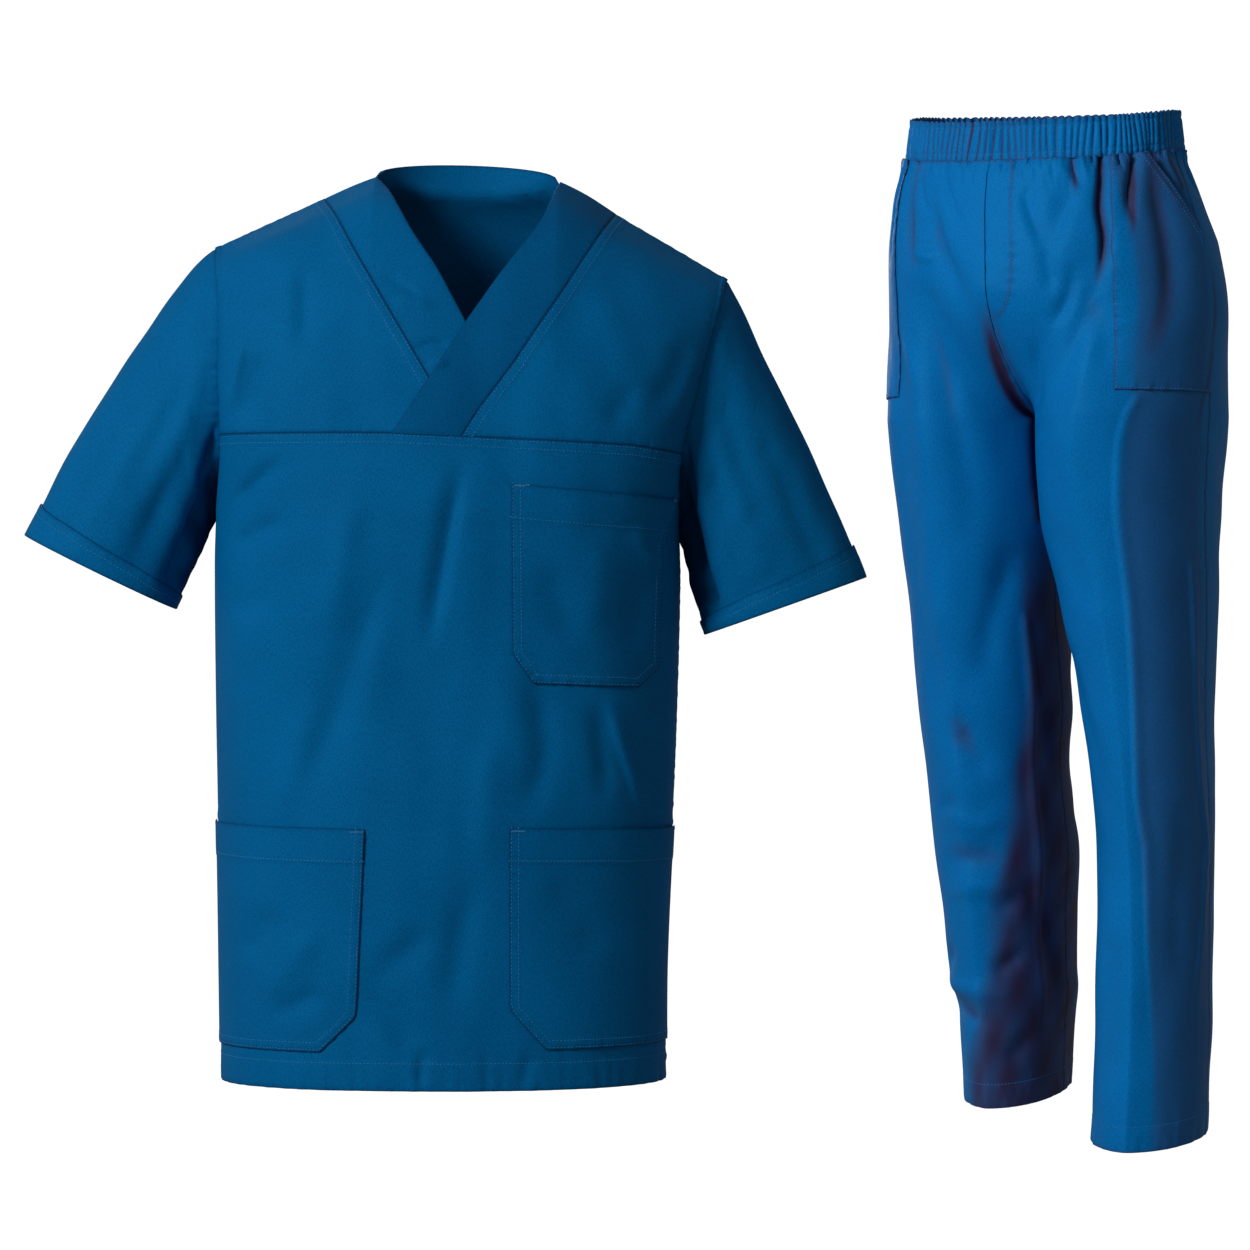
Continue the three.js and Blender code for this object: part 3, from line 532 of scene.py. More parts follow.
class SleeveForm(Form):
    """A sleeve: around 0 at the underarm, 0.25 in front, 0.5 on top; along from armhole to cuff."""

    girth = 390.0
    length = 270.0

    def __init__(self, side: Side, cuff: CuffSize, front: TorsoForm, back: TorsoForm, lifts: list) -> None:
        """Keep the cuff, the armhole's two faces and the sleeve's folds.

        Args:
            side: The wearer's side.
            cuff: Where the cuff hangs.
            front: Form of the top's front.
            back: Form of the top's back.
            lifts: Folds and waves that lift the cloth.
        """
        self.side = side
        self.cuff = cuff
        self.front = front
        self.back = back
        self.lifts = lifts
        self.outward = -float(side.value)

    def place(self, u: Cloud, v: Cloud) -> Cloud:
        """Points of the surface.

        Args:
            u: Places along the form's first coordinate.
            v: Places along the form's second coordinate.

        Returns:
            Points in the frame of the model.
        """
        away = float(self.side.value)
        turn = u - np.floor(u)
        rise = np.where(turn < 0.5, turn * 2, 2 - turn * 2)
        height = 1 + np.minimum(rise, 0.9999)
        edge = np.full(np.shape(height), away)
        start = np.where((turn < 0.5)[..., None], self.front.bare(edge, height),
                         self.back.bare(edge, height))
        start[..., 0] -= away * 0.9
        outer = np.array([self.cuff.outer[0], 0.0, self.cuff.outer[1]])
        inner = np.array([self.cuff.inner[0], 0.0, self.cuff.inner[1]])
        centre = (outer + inner) / 2
        centre[1] = self.cuff.centre_y
        width = (inner - outer) / 2
        axis = unit(np.array([-width[2], 0.0, width[0]])) * away
        angle = turn * 2 * np.pi
        end = centre + np.cos(angle)[..., None] * width
        end[..., 1] -= self.cuff.half_depth * np.sin(angle)
        cap = np.array([self.cuff.cap[0], 0.0, self.cuff.cap[1]])
        lead = unit(mix(cap, axis, (1 - smooth(rise))[..., None]))
        a = start + lead * mix(30.0, 50.0, rise)[..., None]
        b = end - axis * mix(40.0, 90.0, rise)[..., None]
        t = np.clip(v, 0.0, 1.0)[..., None]
        point = (1 - t) ** 3 * start + 3 * t * (1 - t) ** 2 * a + 3 * t ** 2 * (1 - t) * b + t ** 3 * end
        lift = sum(one.lift(turn * self.girth, v * self.length) for one in self.lifts)
        radial = point - centre
        radial = unit(radial - np.sum(radial * axis, axis=-1, keepdims=True) * axis)
        fade = smooth(np.minimum(v, 1 - v) * 7)
        return point + radial * (lift * fade)[..., None]

    def trough(self, u: Cloud, v: Cloud) -> Cloud:
        """Painted shade along the sleeve's underside beside the underarm, from 0 to 1.

        Args:
            u: Places along the form's first coordinate.
            v: Places along the form's second coordinate.

        Returns:
            Amounts of painted shade from 0 to 1.
        """
        turn = u - np.floor(u)
        near = 0.16 if self.side is Side.LEFT else 0.11
        reach = near * (1 - 0.5 * v) + 0.012 * np.sin(v * 17)
        # Painted shade of the underarm, narrowing and fading out before the cuff.
        return 0.95 * smooth((reach - np.minimum(turn, 1 - turn)) / 0.06) * smooth((0.93 - v) / 0.2)


GATHERS = 116
WAIST_Z = 100.0
BAND_HEIGHT = 38.0
FORK_Z = -70.0
CROTCH_Z = -190.0
HIPS = Table(
    [100, 55, 24, 2, -29, -97, -190],
    half=[131, 138, 148, 153, 160, 166, 165],
    front=[98, 104, 112, 119, 126, 133, 135],
    back=[98, 104, 111, 117, 123, 131, 129],
    x=[-9, -9, -8, -6, -3, 0, 0],
    y=[-7, -7, -6, -5, -3, 0, 0],
)
LEGS = {
    Side.LEFT: Table(
        [-190, -280, -365, -460, -590, -741, -880],
        x=[82.6, 80.2, 90.4, 98.5, 107.4, 108.9, 105.1],
        y=[-4, -3, -1, -2, -3, -7, -12],
        across=[80.6, 77.4, 67.3, 57.7, 51.2, 51, 50.3],
        fore=[114, 103, 91, 84, 80, 79, 78],
        turn=[0, 1, 4, 8, 11, 13, 13],
    ),
    Side.RIGHT: Table(
        [-190, -277, -365, -462, -520, -599, -658, -717, -738, -762, -816, -860],
        x=[-82.6, -80.2, -80.4, -77.5, -78, -75, -75.8, -75.9, -75, -74.5, -77.5, -78],
        y=[4, 7, 10, 19, 25, 35, 42, 48, 51, 54, 60, 62],
        across=[80.6, 77.4, 69.8, 69, 63.3, 62.5, 57.1, 54, 53, 49, 46, 44.5],
        fore=[114, 103, 94, 90, 88, 88, 86, 84, 84, 83, 81, 79],
        turn=[0, 1, 2, 3, 4, 5, 6, 7, 7.5, 8, 9, 9],
    ),
}
LEG_HEMS = {Side.LEFT: (-871.0, -850.0), Side.RIGHT: (-848.0, -826.0)}


class LegForm(Form):
    """One leg: around 0 at the centre front and inseam, 0.5 at the outseam, 1 at the centre back."""

    def __init__(self, side: Side, lifts: list, shades: list) -> None:
        """Keep the side, the leg's folds and the paths of painted shade on its cloth.

        Args:
            side: The wearer's side.
            lifts: Folds and waves that lift the cloth.
            shades: Paths of painted shade on the cloth.
        """
        self.side = side
        self.lifts = lifts
        self.shades = shades
        self.outward = -float(side.value)

    def own(self, around: Cloud, z: Cloud) -> Cloud:
        """Points in the trousers' own frame.

        Args:
            around: Shares around the leg.
            z: Heights.

        Returns:
            Points in the trousers' own frame.
        """
        away = float(self.side.value)
        level = np.clip(z, -190.0, 100.0)
        hip = {name: HIPS.read(level, name) for name in ("half", "front", "back", "x", "y")}
        table = LEGS[self.side]
        low = np.minimum(z, CROTCH_Z)
        leg = {name: table.read(low, name) for name in ("x", "y", "across", "fore", "turn")}
        angle = np.pi * around
        hip_depth = np.where(around < 0.5, hip["front"], hip["back"])
        hip_x = hip["x"] + away * (0.1 + hip["half"] * np.clip(np.sin(angle), 0.0, None) ** (2 / 2.1))
        hip_y = hip["y"] - hip_depth * power(np.cos(angle), 2 / 2.1)
        crease_at = np.minimum(np.abs(around - 0.25), np.abs(around - 0.75))
        crease = 1.4 * np.exp(-(crease_at / 0.035) ** 2) + 4.6 * np.exp(-crease_at / 0.06)
        leg_x = -away * leg["across"] * np.cos(2 * angle)
        leg_y = -(leg["fore"] + crease) * np.sin(2 * angle)
        turn = np.radians(leg["turn"])
        turned_x = leg["x"] + leg_x * np.cos(turn) - leg_y * np.sin(turn)
        turned_y = leg["y"] + leg_x * np.sin(turn) + leg_y * np.cos(turn)
        fork = np.clip((FORK_Z - z) / (FORK_Z - CROTCH_Z), 0.0, 1.0)
        at_edge = np.exp(-(np.minimum(around, 1 - around) / 0.15) ** 2)
        seam_morph = 1 - (1 - fork ** 1.6) ** (1 / 1.6)
        side_morph = smooth((FORK_Z + 50 - z) / 210)
        morph = mix(side_morph, seam_morph, at_edge)
        x = mix(hip_x, turned_x, morph)
        y = mix(hip_y, turned_y, morph)
        lift = self.fold_lift(around, z)
        out = np.stack([x - mix(hip["x"], leg["x"], morph), y - mix(hip["y"], leg["y"], morph)], axis=-1)
        out = unit(out) * (lift * np.minimum(1.0, 14 * np.minimum(around, 1 - around)))[..., None]
        x = x + out[..., 0]
        y = y + out[..., 1]
        middle = HIPS.read(level, "x")
        x = middle + away * np.maximum(away * (x - middle), 0.1)
        return np.stack([x, y, z * np.ones_like(x)], axis=-1)

    def fold_lift(self, around: Cloud, z: Cloud) -> Cloud:
        """How far all folds together lift the cloth."""
        run = around * leg_girth(z)
        return sum(one.lift(run, z) for one in self.lifts)

    def place(self, u: Cloud, v: Cloud) -> Cloud:
        """Points in the frame of the model."""
        return stand(self.own(u, v))

    def trough(self, u: Cloud, v: Cloud) -> Cloud:
        """Painted shade there, from 0 to 1: in deep folds, along the paths of painted shade, on the right
        leg's inner side and on the outer half of the left leg's front.

        Args:
            u: Places along the form's first coordinate.
            v: Places along the form's second coordinate.

        Returns:
            Amounts of painted shade from 0 to 1.
        """
        # Painted shade in the deepest folds and along the paths of painted shade.
        deep = smooth((-self.fold_lift(u, v) - 4.2) / 6.5)
        for shade in self.shades:
            deep = np.maximum(deep, shade.lift(u * leg_girth(v), v))
        key = [-860, -806, -745, -647, -580, -500, -440, -290]
        # Painted shade on the right leg's inner side, mottled and widening towards the hem.
        if self.side is Side.RIGHT:
            border = np.where(u < 0.5,
                              np.interp(v, key, [0.4, 0.37, 0.28, 0.205, 0.175, 0.125, 0.1, 0.092]), 0.092)
            border = border + 0.012 * np.sin(v / 19 + u * 20) * smooth((-480 - v) / 150)
            soft = 0.03 + 0.3 * np.maximum(border - 0.1, 0)
            patch = 0.86 + 0.14 * np.sin(v / 13 + 9 * u) * np.sin(u * 60 + v / 37)
            inside = smooth((border - np.minimum(u, 1 - u)) / soft)
            deep = np.maximum(deep, inside * smooth((-290 - v) / 90) * patch)
        else:
            # Painted shade on the outer half of the left leg's front, from beyond its crease to the side
            # seam.
            border = np.interp(v, key + [-180, -60, 60],
                               [0.323, 0.318, 0.305, 0.29, 0.283, 0.292, 0.303, 0.33, 0.35, 0.3, 0.27])
            deep = np.maximum(deep, 0.36 * smooth((u - border) / 0.025 + 0.5) * smooth((0.5 - u) / 0.03))
        return np.minimum(deep, 1.0)


def leg_girth(z: Cloud) -> Cloud:
    """Length that a share of 1 around a leg stands for, at a height."""
    side_morph = smooth((FORK_Z + 50 - z) / 210)
    return mix(480.0, mix(610.0, 395.0, np.clip((CROTCH_Z - z) / 400, 0.0, 1.0)), side_morph)


@dataclass(frozen=True)
class LegFold:
    """A fold of a leg along points (share around, height); depth below 0 is a hollow. As a path of painted
    shade, its depth is the amount of shade.
    """

    points: tuple[tuple[float, float], ...]
    width: float
    depth: float
    skew: float = 0.0
    start: float = 0.6
    end: float = 0.0

    def lift(self, run: Cloud, z: Cloud) -> Cloud:
        """How far the fold lifts the cloth; run is the length around the leg.

        Args:
            run: Lengths around the leg.
            z: Heights.

        Returns:
            The lift of the cloth there.
        """
        line = np.array(self.points, dtype=float)
        line[:, 0] *= leg_girth(line[:, 1])
        line = resample(line, 4.0)
        if len(line) > 8:
            kernel = np.ones(5) / 5
            padded = np.vstack([line[:1], line[:1], line, line[-1:], line[-1:]])
            line = np.stack([np.convolve(padded[:, k], kernel, "valid") for k in range(2)], axis=1)
            line = line[::3] if (len(line) - 1) % 3 == 0 else np.vstack([line[::3], line[-1:]])
        reach = 3.0 * self.width * (1 + abs(self.skew))
        low = line.min(axis=0) - reach
        high = line.max(axis=0) + reach
        near = (run > low[0]) & (run < high[0]) & (z > low[1]) & (z < high[1])
        out = np.zeros(np.broadcast(run, z).shape)
        if not near.any():
            return out
        points = pair(np.broadcast_to(run, out.shape)[near], np.broadcast_to(z, out.shape)[near])
        distance, at = near_line(points, line)
        total = float(np.linalg.norm(np.diff(line, axis=0), axis=1).sum())
        share = at / total
        place = np.interp(points[:, 1], line[::-1, 1] if line[0, 1] > line[-1, 1] else line[:, 1],
                          line[::-1, 0] if line[0, 1] > line[-1, 1] else line[:, 0])
        width = self.width * (1 + self.skew * np.sign(points[:, 0] - place))
        fade = smooth(share / 0.4 + self.start) * smooth((1 - share) / 0.45 + self.end)
        out[near] = self.depth * np.exp(-(distance / width) ** 2) * fade
        return out


def stand(points: Cloud) -> Cloud:
    """Bring points of the trousers' own frame to where the trousers stand.

    Args:
        points: Points to place.

    Returns:
        Points in the frame of the model.
    """
    turn = math.radians(-35.0)
    x = points[..., 0] * math.cos(turn) - points[..., 1] * math.sin(turn) + 551.0
    y = points[..., 0] * math.sin(turn) + points[..., 1] * math.cos(turn) + 300.0
    return np.stack([x, y, points[..., 2]], axis=-1)


def waist_drop(side: Side, around: Cloud) -> Cloud:
    """How far the waist lies below its mean height.

    Args:
        side: The wearer's side.
        around: Shares around the leg.

    Returns:
        How much lower the waist lies there.
    """
    forward = np.cos(np.pi * around)
    along = np.where(forward > 0, 16.0, -8.0)
    return along * np.abs(forward) + 5.0 * side.value * np.sin(np.pi * around)


def leg_z(side: Side, around: Cloud, row: Cloud) -> Cloud:
    """Height of a leg's row: 0 at the waist seam, 1 at the fork's start, 2 at the crotch, 3 at the hem.

    Args:
        side: The wearer's side.
        around: Shares around the leg.
        row: Row coordinates, 3 at the hem.

    Returns:
        Heights.
    """
    waist = WAIST_Z - BAND_HEIGHT + 1.2 - waist_drop(side, around)
    front, back = LEG_HEMS[side]
    hem = (front + back) / 2 + (front - back) / 2 * np.sin(2 * np.pi * around)
    high = mix(waist, FORK_Z, row)
    middle = mix(FORK_Z, CROTCH_Z, np.sin((np.clip(row, 1, 2) - 1) * np.pi / 2))
    low = mix(CROTCH_Z, hem, row - 2)
    return np.where(row <= 1, high, np.where(row <= 2, middle, low))


@dataclass
class Seam:
    """A sewn line of a panel, given in its form's own coordinates."""

    path: Cloud
    rows: tuple[float, ...] = ()
    allowance: float = 0.0
    lift: float = 0.0
    pucker: float = 0.3
    pitch: float = 11.0
    reach: float = 8.0
    seed: int = 1
    closed: bool = False
    quiet: bool = False

    def relief(self, distance: Cloud, run: Cloud) -> Cloud:
        """Height of the seam's allowance, sewn rows and puckers.

        Args:
            distance: Distances from the seam.
            run: Lengths along the seam.

        Returns:
            The lift of the cloth there.
        """
        draw = np.random.default_rng(self.seed)
        wave = np.zeros_like(run)
        for _ in range(6):
            length = self.pitch * draw.uniform(0.6, 1.9)
            wave += np.sin(2 * np.pi * (run + distance * draw.uniform(-0.4, 0.4)) / length
                           + draw.uniform(0, 6.28))
        out = self.pucker * wave / 2.4 * np.exp(-(distance / self.reach) ** 1.5)
        if self.lift:
            out += self.lift * (1 - smooth((distance - self.allowance + 1.2) / 2.4))
        for row in self.rows:
            out -= 0.28 * np.exp(-((distance - row) / 0.9) ** 2)
        return out


class Stitches:
    """Collects the stitches of one garment and joins them in one mesh."""

    def __init__(self, name: str, slot: str) -> None:
        """Start with no stitches.

        Args:
            name: Name of the object.
            slot: Material slot of the record.
        """
        self.name = name
        self.slot = slot
        self.at: list[Cloud] = []
        self.along: list[Cloud] = []
        self.out: list[Cloud] = []

    def bar(self, start: Cloud, end: Cloud, tree: BVHTree) -> None:
        """Lay a bar tack: dense short stitches across a short line.

        Args:
            start: One end.
            end: The other end.
            tree: The panel's outer face.
        """
        line = np.linspace(start, end, max(3, int(np.linalg.norm(end - start) / 0.75)))
        first = len(self.at)
        self.sew(line, tree, pitch=0.75)
        for k in range(first, len(self.at)):
            self.along[k] = unit(np.cross(self.out[k], self.along[k]) + 0.25 * self.along[k])

    def sew(self, line: Cloud, tree: BVHTree, closed: bool = False, pitch: float = 3.3) -> None:
        """Lay a row of stitches on a panel.

        Args:
            line: Points near the row, in millimetres.
            tree: The panel's outer face.
            closed: Whether the row returns to its start.
            pitch: Distance from stitch to stitch.
        """
        points = resample(line, pitch, closed)
        tangents = unit(np.gradient(points, axis=0))
        for point, tangent in zip(points, tangents):
            found, normal, _, gap = tree.find_nearest(Vector(point))
            if found is None or gap > 7.0:
                continue
            normal = np.array(normal)
            tangent = unit(tangent - normal * (tangent @ normal))
            self.at.append(np.array(found) + normal * 0.06)
            self.along.append(tangent)
            self.out.append(normal)

    def build(self, material: bpy.types.Material) -> bpy.types.Object:
        """Join all stitches in one mesh.

        Args:
            material: The thread's finish.

        Returns:
            The new object.
        """
        half, wide, high = 1.3, 0.36, 0.26
        near, far = -half * 0.55, half * 0.55
        shape = np.array([[-half, 0, -0.12],
                          [near, -wide, 0], [near, 0, high], [near, wide, 0], [near, 0, -high],
                          [far, -wide, 0], [far, 0, high], [far, wide, 0], [far, 0, -high],
                          [half, 0, -0.12]])
        faces = []
        for k in range(4):
            n = (k + 1) % 4
            faces += [[0, 1 + n, 1 + k], [1 + k, 1 + n, 5 + n, 5 + k], [9, 5 + k, 5 + n]]
        at = np.array(self.at)
        along = np.array(self.along)
        out = np.array(self.out)
        across = np.cross(out, along)
        forth, aside, above = (shape[None, :, k:k + 1] for k in range(3))
        verts = (at[:, None, :] + forth * along[:, None, :] + aside * across[:, None, :]
                 + above * out[:, None, :])
        verts = verts.reshape(-1, 3) * MM
        count = len(at)
        all_faces = [[i + 10 * n for i in f] for n in range(count) for f in faces]
        mesh = bpy.data.meshes.new(self.name)
        mesh.from_pydata(verts.tolist(), [], all_faces)
        mesh.polygons.foreach_set("use_smooth", np.ones(len(mesh.polygons), dtype=bool))
        mesh.materials.append(material)
        piece = bpy.data.objects.new(self.name, mesh)
        bpy.context.scene.collection.objects.link(piece)
        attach(piece, "root")
        LOG.info("%s: %d stitches", self.name, count)
        return piece


def grid_normals(base: Cloud, tube: bool) -> Cloud:
    """Normals of a grid of points.

    Args:
        base: Points, shaped (rows, columns, 3).
        tube: Whether the columns close round.

    Returns:
        Normals of the same shape, towards the side from which columns and rows turn left.
    """
    if tube:
        a = np.roll(base, -1, axis=1) - np.roll(base, 1, axis=1)
    else:
        a = np.gradient(base, axis=1)
    return unit(np.cross(a, np.gradient(base, axis=0)))


def grid_runs(base: Cloud) -> tuple[Cloud, Cloud]:
    """Lengths along the lines of a grid of points.

    Args:
        base: Points, shaped (rows, columns, 3).

    Returns:
        Lengths down the columns and over the rows.
    """
    rows = np.linalg.norm(np.diff(base, axis=0), axis=2)
    columns = np.linalg.norm(np.diff(base, axis=1), axis=2)
    down = np.concatenate([np.zeros((1, base.shape[1])), np.cumsum(rows, axis=0)])
    return down, np.concatenate([np.zeros((base.shape[0], 1)), np.cumsum(columns, axis=1)], axis=1)


def grid_quads(rows: int, columns: int, wrap: int) -> Cloud:
    """Faces of a grid of points.

    Args:
        rows: Number of rows.
        columns: Number of columns.
        wrap: Number of faces in a row, as many as columns on a tube.

    Returns:
        Four point numbers for each face.
    """
    j, i = np.meshgrid(np.arange(rows - 1), np.arange(wrap), indexing="ij")
    n = (i + 1) % columns
    low = j * columns
    high = low + columns
    return np.stack([low + i, low + n, high + n, high + i], axis=-1).reshape(-1, 4)


@dataclass
class Panel:
    """A cut piece of cloth on a form, made into a closed thin shell."""

    name: str
    form: Form
    u: Cloud
    v: Cloud
    flat: tuple[float, float]
    area: Optional[float] = None
    held: str = "hung"
    seams: list[Seam] = field(default_factory=list)
    layer: Cloud | float = 0.0
    tube: bool = False
    inner_step: int = 2
    relief: Optional[Callable[[Cloud, Cloud, Cloud], Cloud]] = None
    thick: float = 1.0
    bars: list[tuple] = field(default_factory=list)
    tone: float = 0.0

    def build(self, material: bpy.types.Material, stitches: Stitches, slot: str) -> bpy.types.Object:
        """Args:
            material: The cloth's finish.
            stitches: Collector of the garment's stitches.
            slot: Not used.

        Returns:
            The new object.
        """
        base = self.form.place(self.u, self.v)
        normal = grid_normals(base, self.tube) * self.form.outward
        rows, columns, _ = base.shape
        flat_points = base.reshape(-1, 3)
        rim = self.rim_distance(base)
        lift = np.zeros((rows, columns)) + self.layer + 0.6
        near_seam = np.full(rows * columns, 40.0)
        run_on = np.zeros(rows * columns)
        for seam in self.seams:
            path = self.form.place(seam.path[:, 0], seam.path[:, 1])
            if seam.closed:
                path = np.vstack([path, path[:1]])
            distance, run = near_line(flat_points, resample(path, 5.0))
            lift += seam.relief(distance, run).reshape(rows, columns)
            closer = (distance < near_seam) & (not seam.quiet)
            near_seam[closer] = distance[closer]
            run_on[closer] = run[closer]
        if self.relief is not None:
            lift += self.relief(self.u, self.v, base)
        half = 0.5 * self.thick * (1 - 0.62 * (1 - np.clip(rim / 1.3, 0.0, 1.0)) ** 2)
        outer = base + normal * (lift + half)[..., None]
        inner = base + normal * (lift - half)[..., None]
        piece, quads = self.shell(outer, inner)
        piece.data.materials.append(material)
        marks = {
            "seam": near_seam.reshape(rows, columns), "run": run_on.reshape(rows, columns),
            # painted shade in folds, gaps and shaded sides; a panel's own even tone, where set, darkens
            # towards the same colour
            "trough": np.maximum(self.form.trough(self.u, self.v), self.tone),
        }
        self.write_attributes(piece, base, marks)
        tree = BVHTree.FromPolygons(outer.reshape(-1, 3).tolist(), quads)
        for seam in self.seams:
            self.sew(seam, tree, stitches)
        for path in self.bars:
            ends = self.form.place(np.array([p[0] for p in path]), np.array([p[1] for p in path]))
            stitches.bar(ends[0], ends[1], tree)
        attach(piece, "root")
        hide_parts(self.name)
        measured = np.linalg.norm(np.cross(outer[1:, :-1] - outer[:-1, :-1],
                                           outer[:-1, 1:] - outer[:-1, :-1]), axis=2).sum() * MM * MM
        LOG.info("%s: %d faces, cloth %.4f m2", self.name, len(piece.data.polygons), measured)
        return piece

    def rim_distance(self, base: Cloud) -> Cloud:
        """Distance along the grid's lines from the nearest open border.

        Args:
            base: Points of the panel's grid.

        Returns:
            The distances.
        """
        down, over = grid_runs(base)
        rim = np.minimum(down, down[-1:] - down)
        if not self.tube:
            rim = np.minimum(rim, np.minimum(over, over[:, -1:] - over))
        return rim

    def shell(self, outer: Cloud, inner: Cloud) -> tuple[bpy.types.Object, list]:
        """Join the outer face and a coarser inner face to one closed mesh.

        Args:
            outer: Points of the outer face.
            inner: Points of the inner face on the same grid.

        Returns:
            The object, and the outer face's polygons.
        """
        step = self.inner_step
        rows, columns, _ = outer.shape
        inner = inner[::step, ::step]
        in_rows, in_columns, _ = inner.shape
        first = rows * columns
        wrap = columns if self.tube else columns - 1
        in_wrap = in_columns if self.tube else in_columns - 1
        outer_quads = grid_quads(rows, columns, wrap)
        inner_quads = first + grid_quads(in_rows, in_columns, in_wrap)[:, [0, 3, 2, 1]]
        if self.form.outward < 0:
            outer_quads = outer_quads[:, ::-1]
            inner_quads = inner_quads[:, ::-1]
        quads = outer_quads.tolist()
        faces = quads + inner_quads.tolist()
        low = [i % columns for i in range(wrap + 1)]
        low_in = [first + i % in_columns for i in range(in_wrap + 1)]
        faces += self.close(low, low_in, False)
        high = [(rows - 1) * columns + i % columns for i in range(wrap + 1)]
        high_in = [first + (in_rows - 1) * in_columns + i % in_columns for i in range(in_wrap + 1)]
        faces += self.close(high, high_in, True)
        if not self.tube:
            faces += self.close([j * columns for j in range(rows)],
                                [first + j * in_columns for j in range(in_rows)], True)
            faces += self.close([j * columns + columns - 1 for j in range(rows)],
                                [first + j * in_columns + in_columns - 1 for j in range(in_rows)], False)
        mesh = bpy.data.meshes.new(self.name + "_cloth")
        verts = np.vstack([outer.reshape(-1, 3), inner.reshape(-1, 3)]) * MM
        mesh.from_pydata(verts.tolist(), [], faces)
        mesh.polygons.foreach_set("use_smooth", np.ones(len(mesh.polygons), dtype=bool))
        piece = bpy.data.objects.new(self.name + "_cloth", mesh)
        bpy.context.scene.collection.objects.link(piece)
        return piece, quads

    def close(self, outer: list[int], inner: list[int], flip: bool) -> list[list[int]]:
        """Faces between an outer border and an inner one with a step's fewer points.

        Args:
            outer: The outer border's points in order.
            inner: The inner border's points in order.
            flip: Whether the faces turn the other way.

        Returns:
            The faces.
        """
        step = self.inner_step
        faces = []
        for k in range(len(inner) - 1):
            here = outer[k * step:k * step + step + 1]
            middle = step // 2
            for m in range(step):
                ends = [inner[k], inner[k + 1]]
                if step > 1 and m != middle:
                    ends = ends[:1] if m < middle else ends[1:]
                faces.append([here[m + 1], here[m], *ends])
        if flip != (self.form.outward < 0):
            faces = [f[::-1] for f in faces]
        return faces

    def write_attributes(self, piece: bpy.types.Object, base: Cloud, marks: dict[str, Cloud]) -> None:
        """Write the cloth's own coordinates, where its seams are and how much painted shade it gets, for
        the finish.

        Args:
            piece: The panel's object.
            base: Points of the outer grid.
            marks: Values of each attribute on the outer grid.
        """
        step = self.inner_step
        down, over = grid_runs(base)
        over -= over[:, base.shape[1] // 2:base.shape[1] // 2 + 1]
        both = np.stack([over, down], axis=-1) * MM
        uv = np.vstack([both.reshape(-1, 2), both[::step, ::step].reshape(-1, 2)])
        mesh = piece.data
        layer = mesh.uv_layers.new(name="cloth")
        index = np.zeros(len(mesh.loops), dtype=np.int32)
        mesh.loops.foreach_get("vertex_index", index)
        layer.data.foreach_set("uv", uv[index].astype(np.float32).ravel())
        for name, values in marks.items():
            attribute = mesh.attributes.new(name, "FLOAT", "POINT")
            both = np.concatenate([values.ravel(), values[::step, ::step].ravel()])
            attribute.data.foreach_set("value", both.astype(np.float32))

    def sew(self, seam: Seam, tree: BVHTree, stitches: Stitches) -> None:
        """Lay a seam's rows of stitches on the panel's outer face.

        Args:
            seam: The seam.
            tree: The panel's outer face.
            stitches: Collector of the garment's stitches.
        """
        if not seam.rows:
            return
        u = seam.path[:, 0]
        v = seam.path[:, 1]
        line = self.form.place(u, v)
        count = max(8, int(np.linalg.norm(np.diff(line, axis=0), axis=1).sum() / 4))
        at = np.linspace(0, len(u) - 1, count)
        u = np.interp(at, np.arange(len(u)), u)
        v = np.interp(at, np.arange(len(v)), v)
        line = self.form.place(u, v)
        if seam.closed:
            tangent = unit(np.roll(line, -1, axis=0) - np.roll(line, 1, axis=0))
        else:
            tangent = unit(np.gradient(line, axis=0))
        normal = self.form.normal(u, v)
        aside = unit(np.cross(normal, tangent))
        probes = range(2, len(line) - 2, max(1, len(line) // 9))
        score = {}
        for sign in (1.0, -1.0):
            score[sign] = sum(tree.find_nearest(Vector(line[k] + aside[k] * sign * 8))[3] for k in probes)
        sign = min(score, key=score.get)
        for row in seam.rows:
            moved = line + aside * sign * row
            stitches.sew(moved, tree, seam.closed)


def coons(low: Cloud, high: Cloud, left: Cloud, right: Cloud, s: Cloud, t: Cloud) -> tuple[Cloud, Cloud]:
    """Fill four borders with a grid.

    Args:
        low: Border for t = 0, from left to right.
        high: Border for t = 1, from left to right.
        left: Border for s = 0, from low to high.
        right: Border for s = 1, from low to high.
        s: Shares of the columns.
        t: Shares of the rows.

    Returns:
        Both coordinates of the grid, each shaped (rows, columns).
    """
    def at(line: Cloud, share: Cloud) -> Cloud:
        """Read a border at shares of its length.

        Args:
            line: Points of the line.
            share: Shares of its length.

        Returns:
            Points there.
        """
        gaps = np.linalg.norm(np.diff(line, axis=0) * np.array([280.0, 500.0]), axis=1)
        run = np.concatenate([[0.0], np.cumsum(gaps)])
        run /= run[-1]
        return pair(np.interp(share, run, line[:, 0]), np.interp(share, run, line[:, 1]))

    bottom, top = at(low, s), at(high, s)
    one, two = at(left, t), at(right, t)
    ss = s[None, :, None]
    tt = t[:, None, None]
    grid = ((1 - tt) * bottom[None] + tt * top[None] + (1 - ss) * one[:, None] + ss * two[:, None]
            - (1 - ss) * (1 - tt) * low[0] - ss * (1 - tt) * low[-1]
            - (1 - ss) * tt * high[0] - ss * tt * high[-1])
    return grid[..., 0], grid[..., 1]


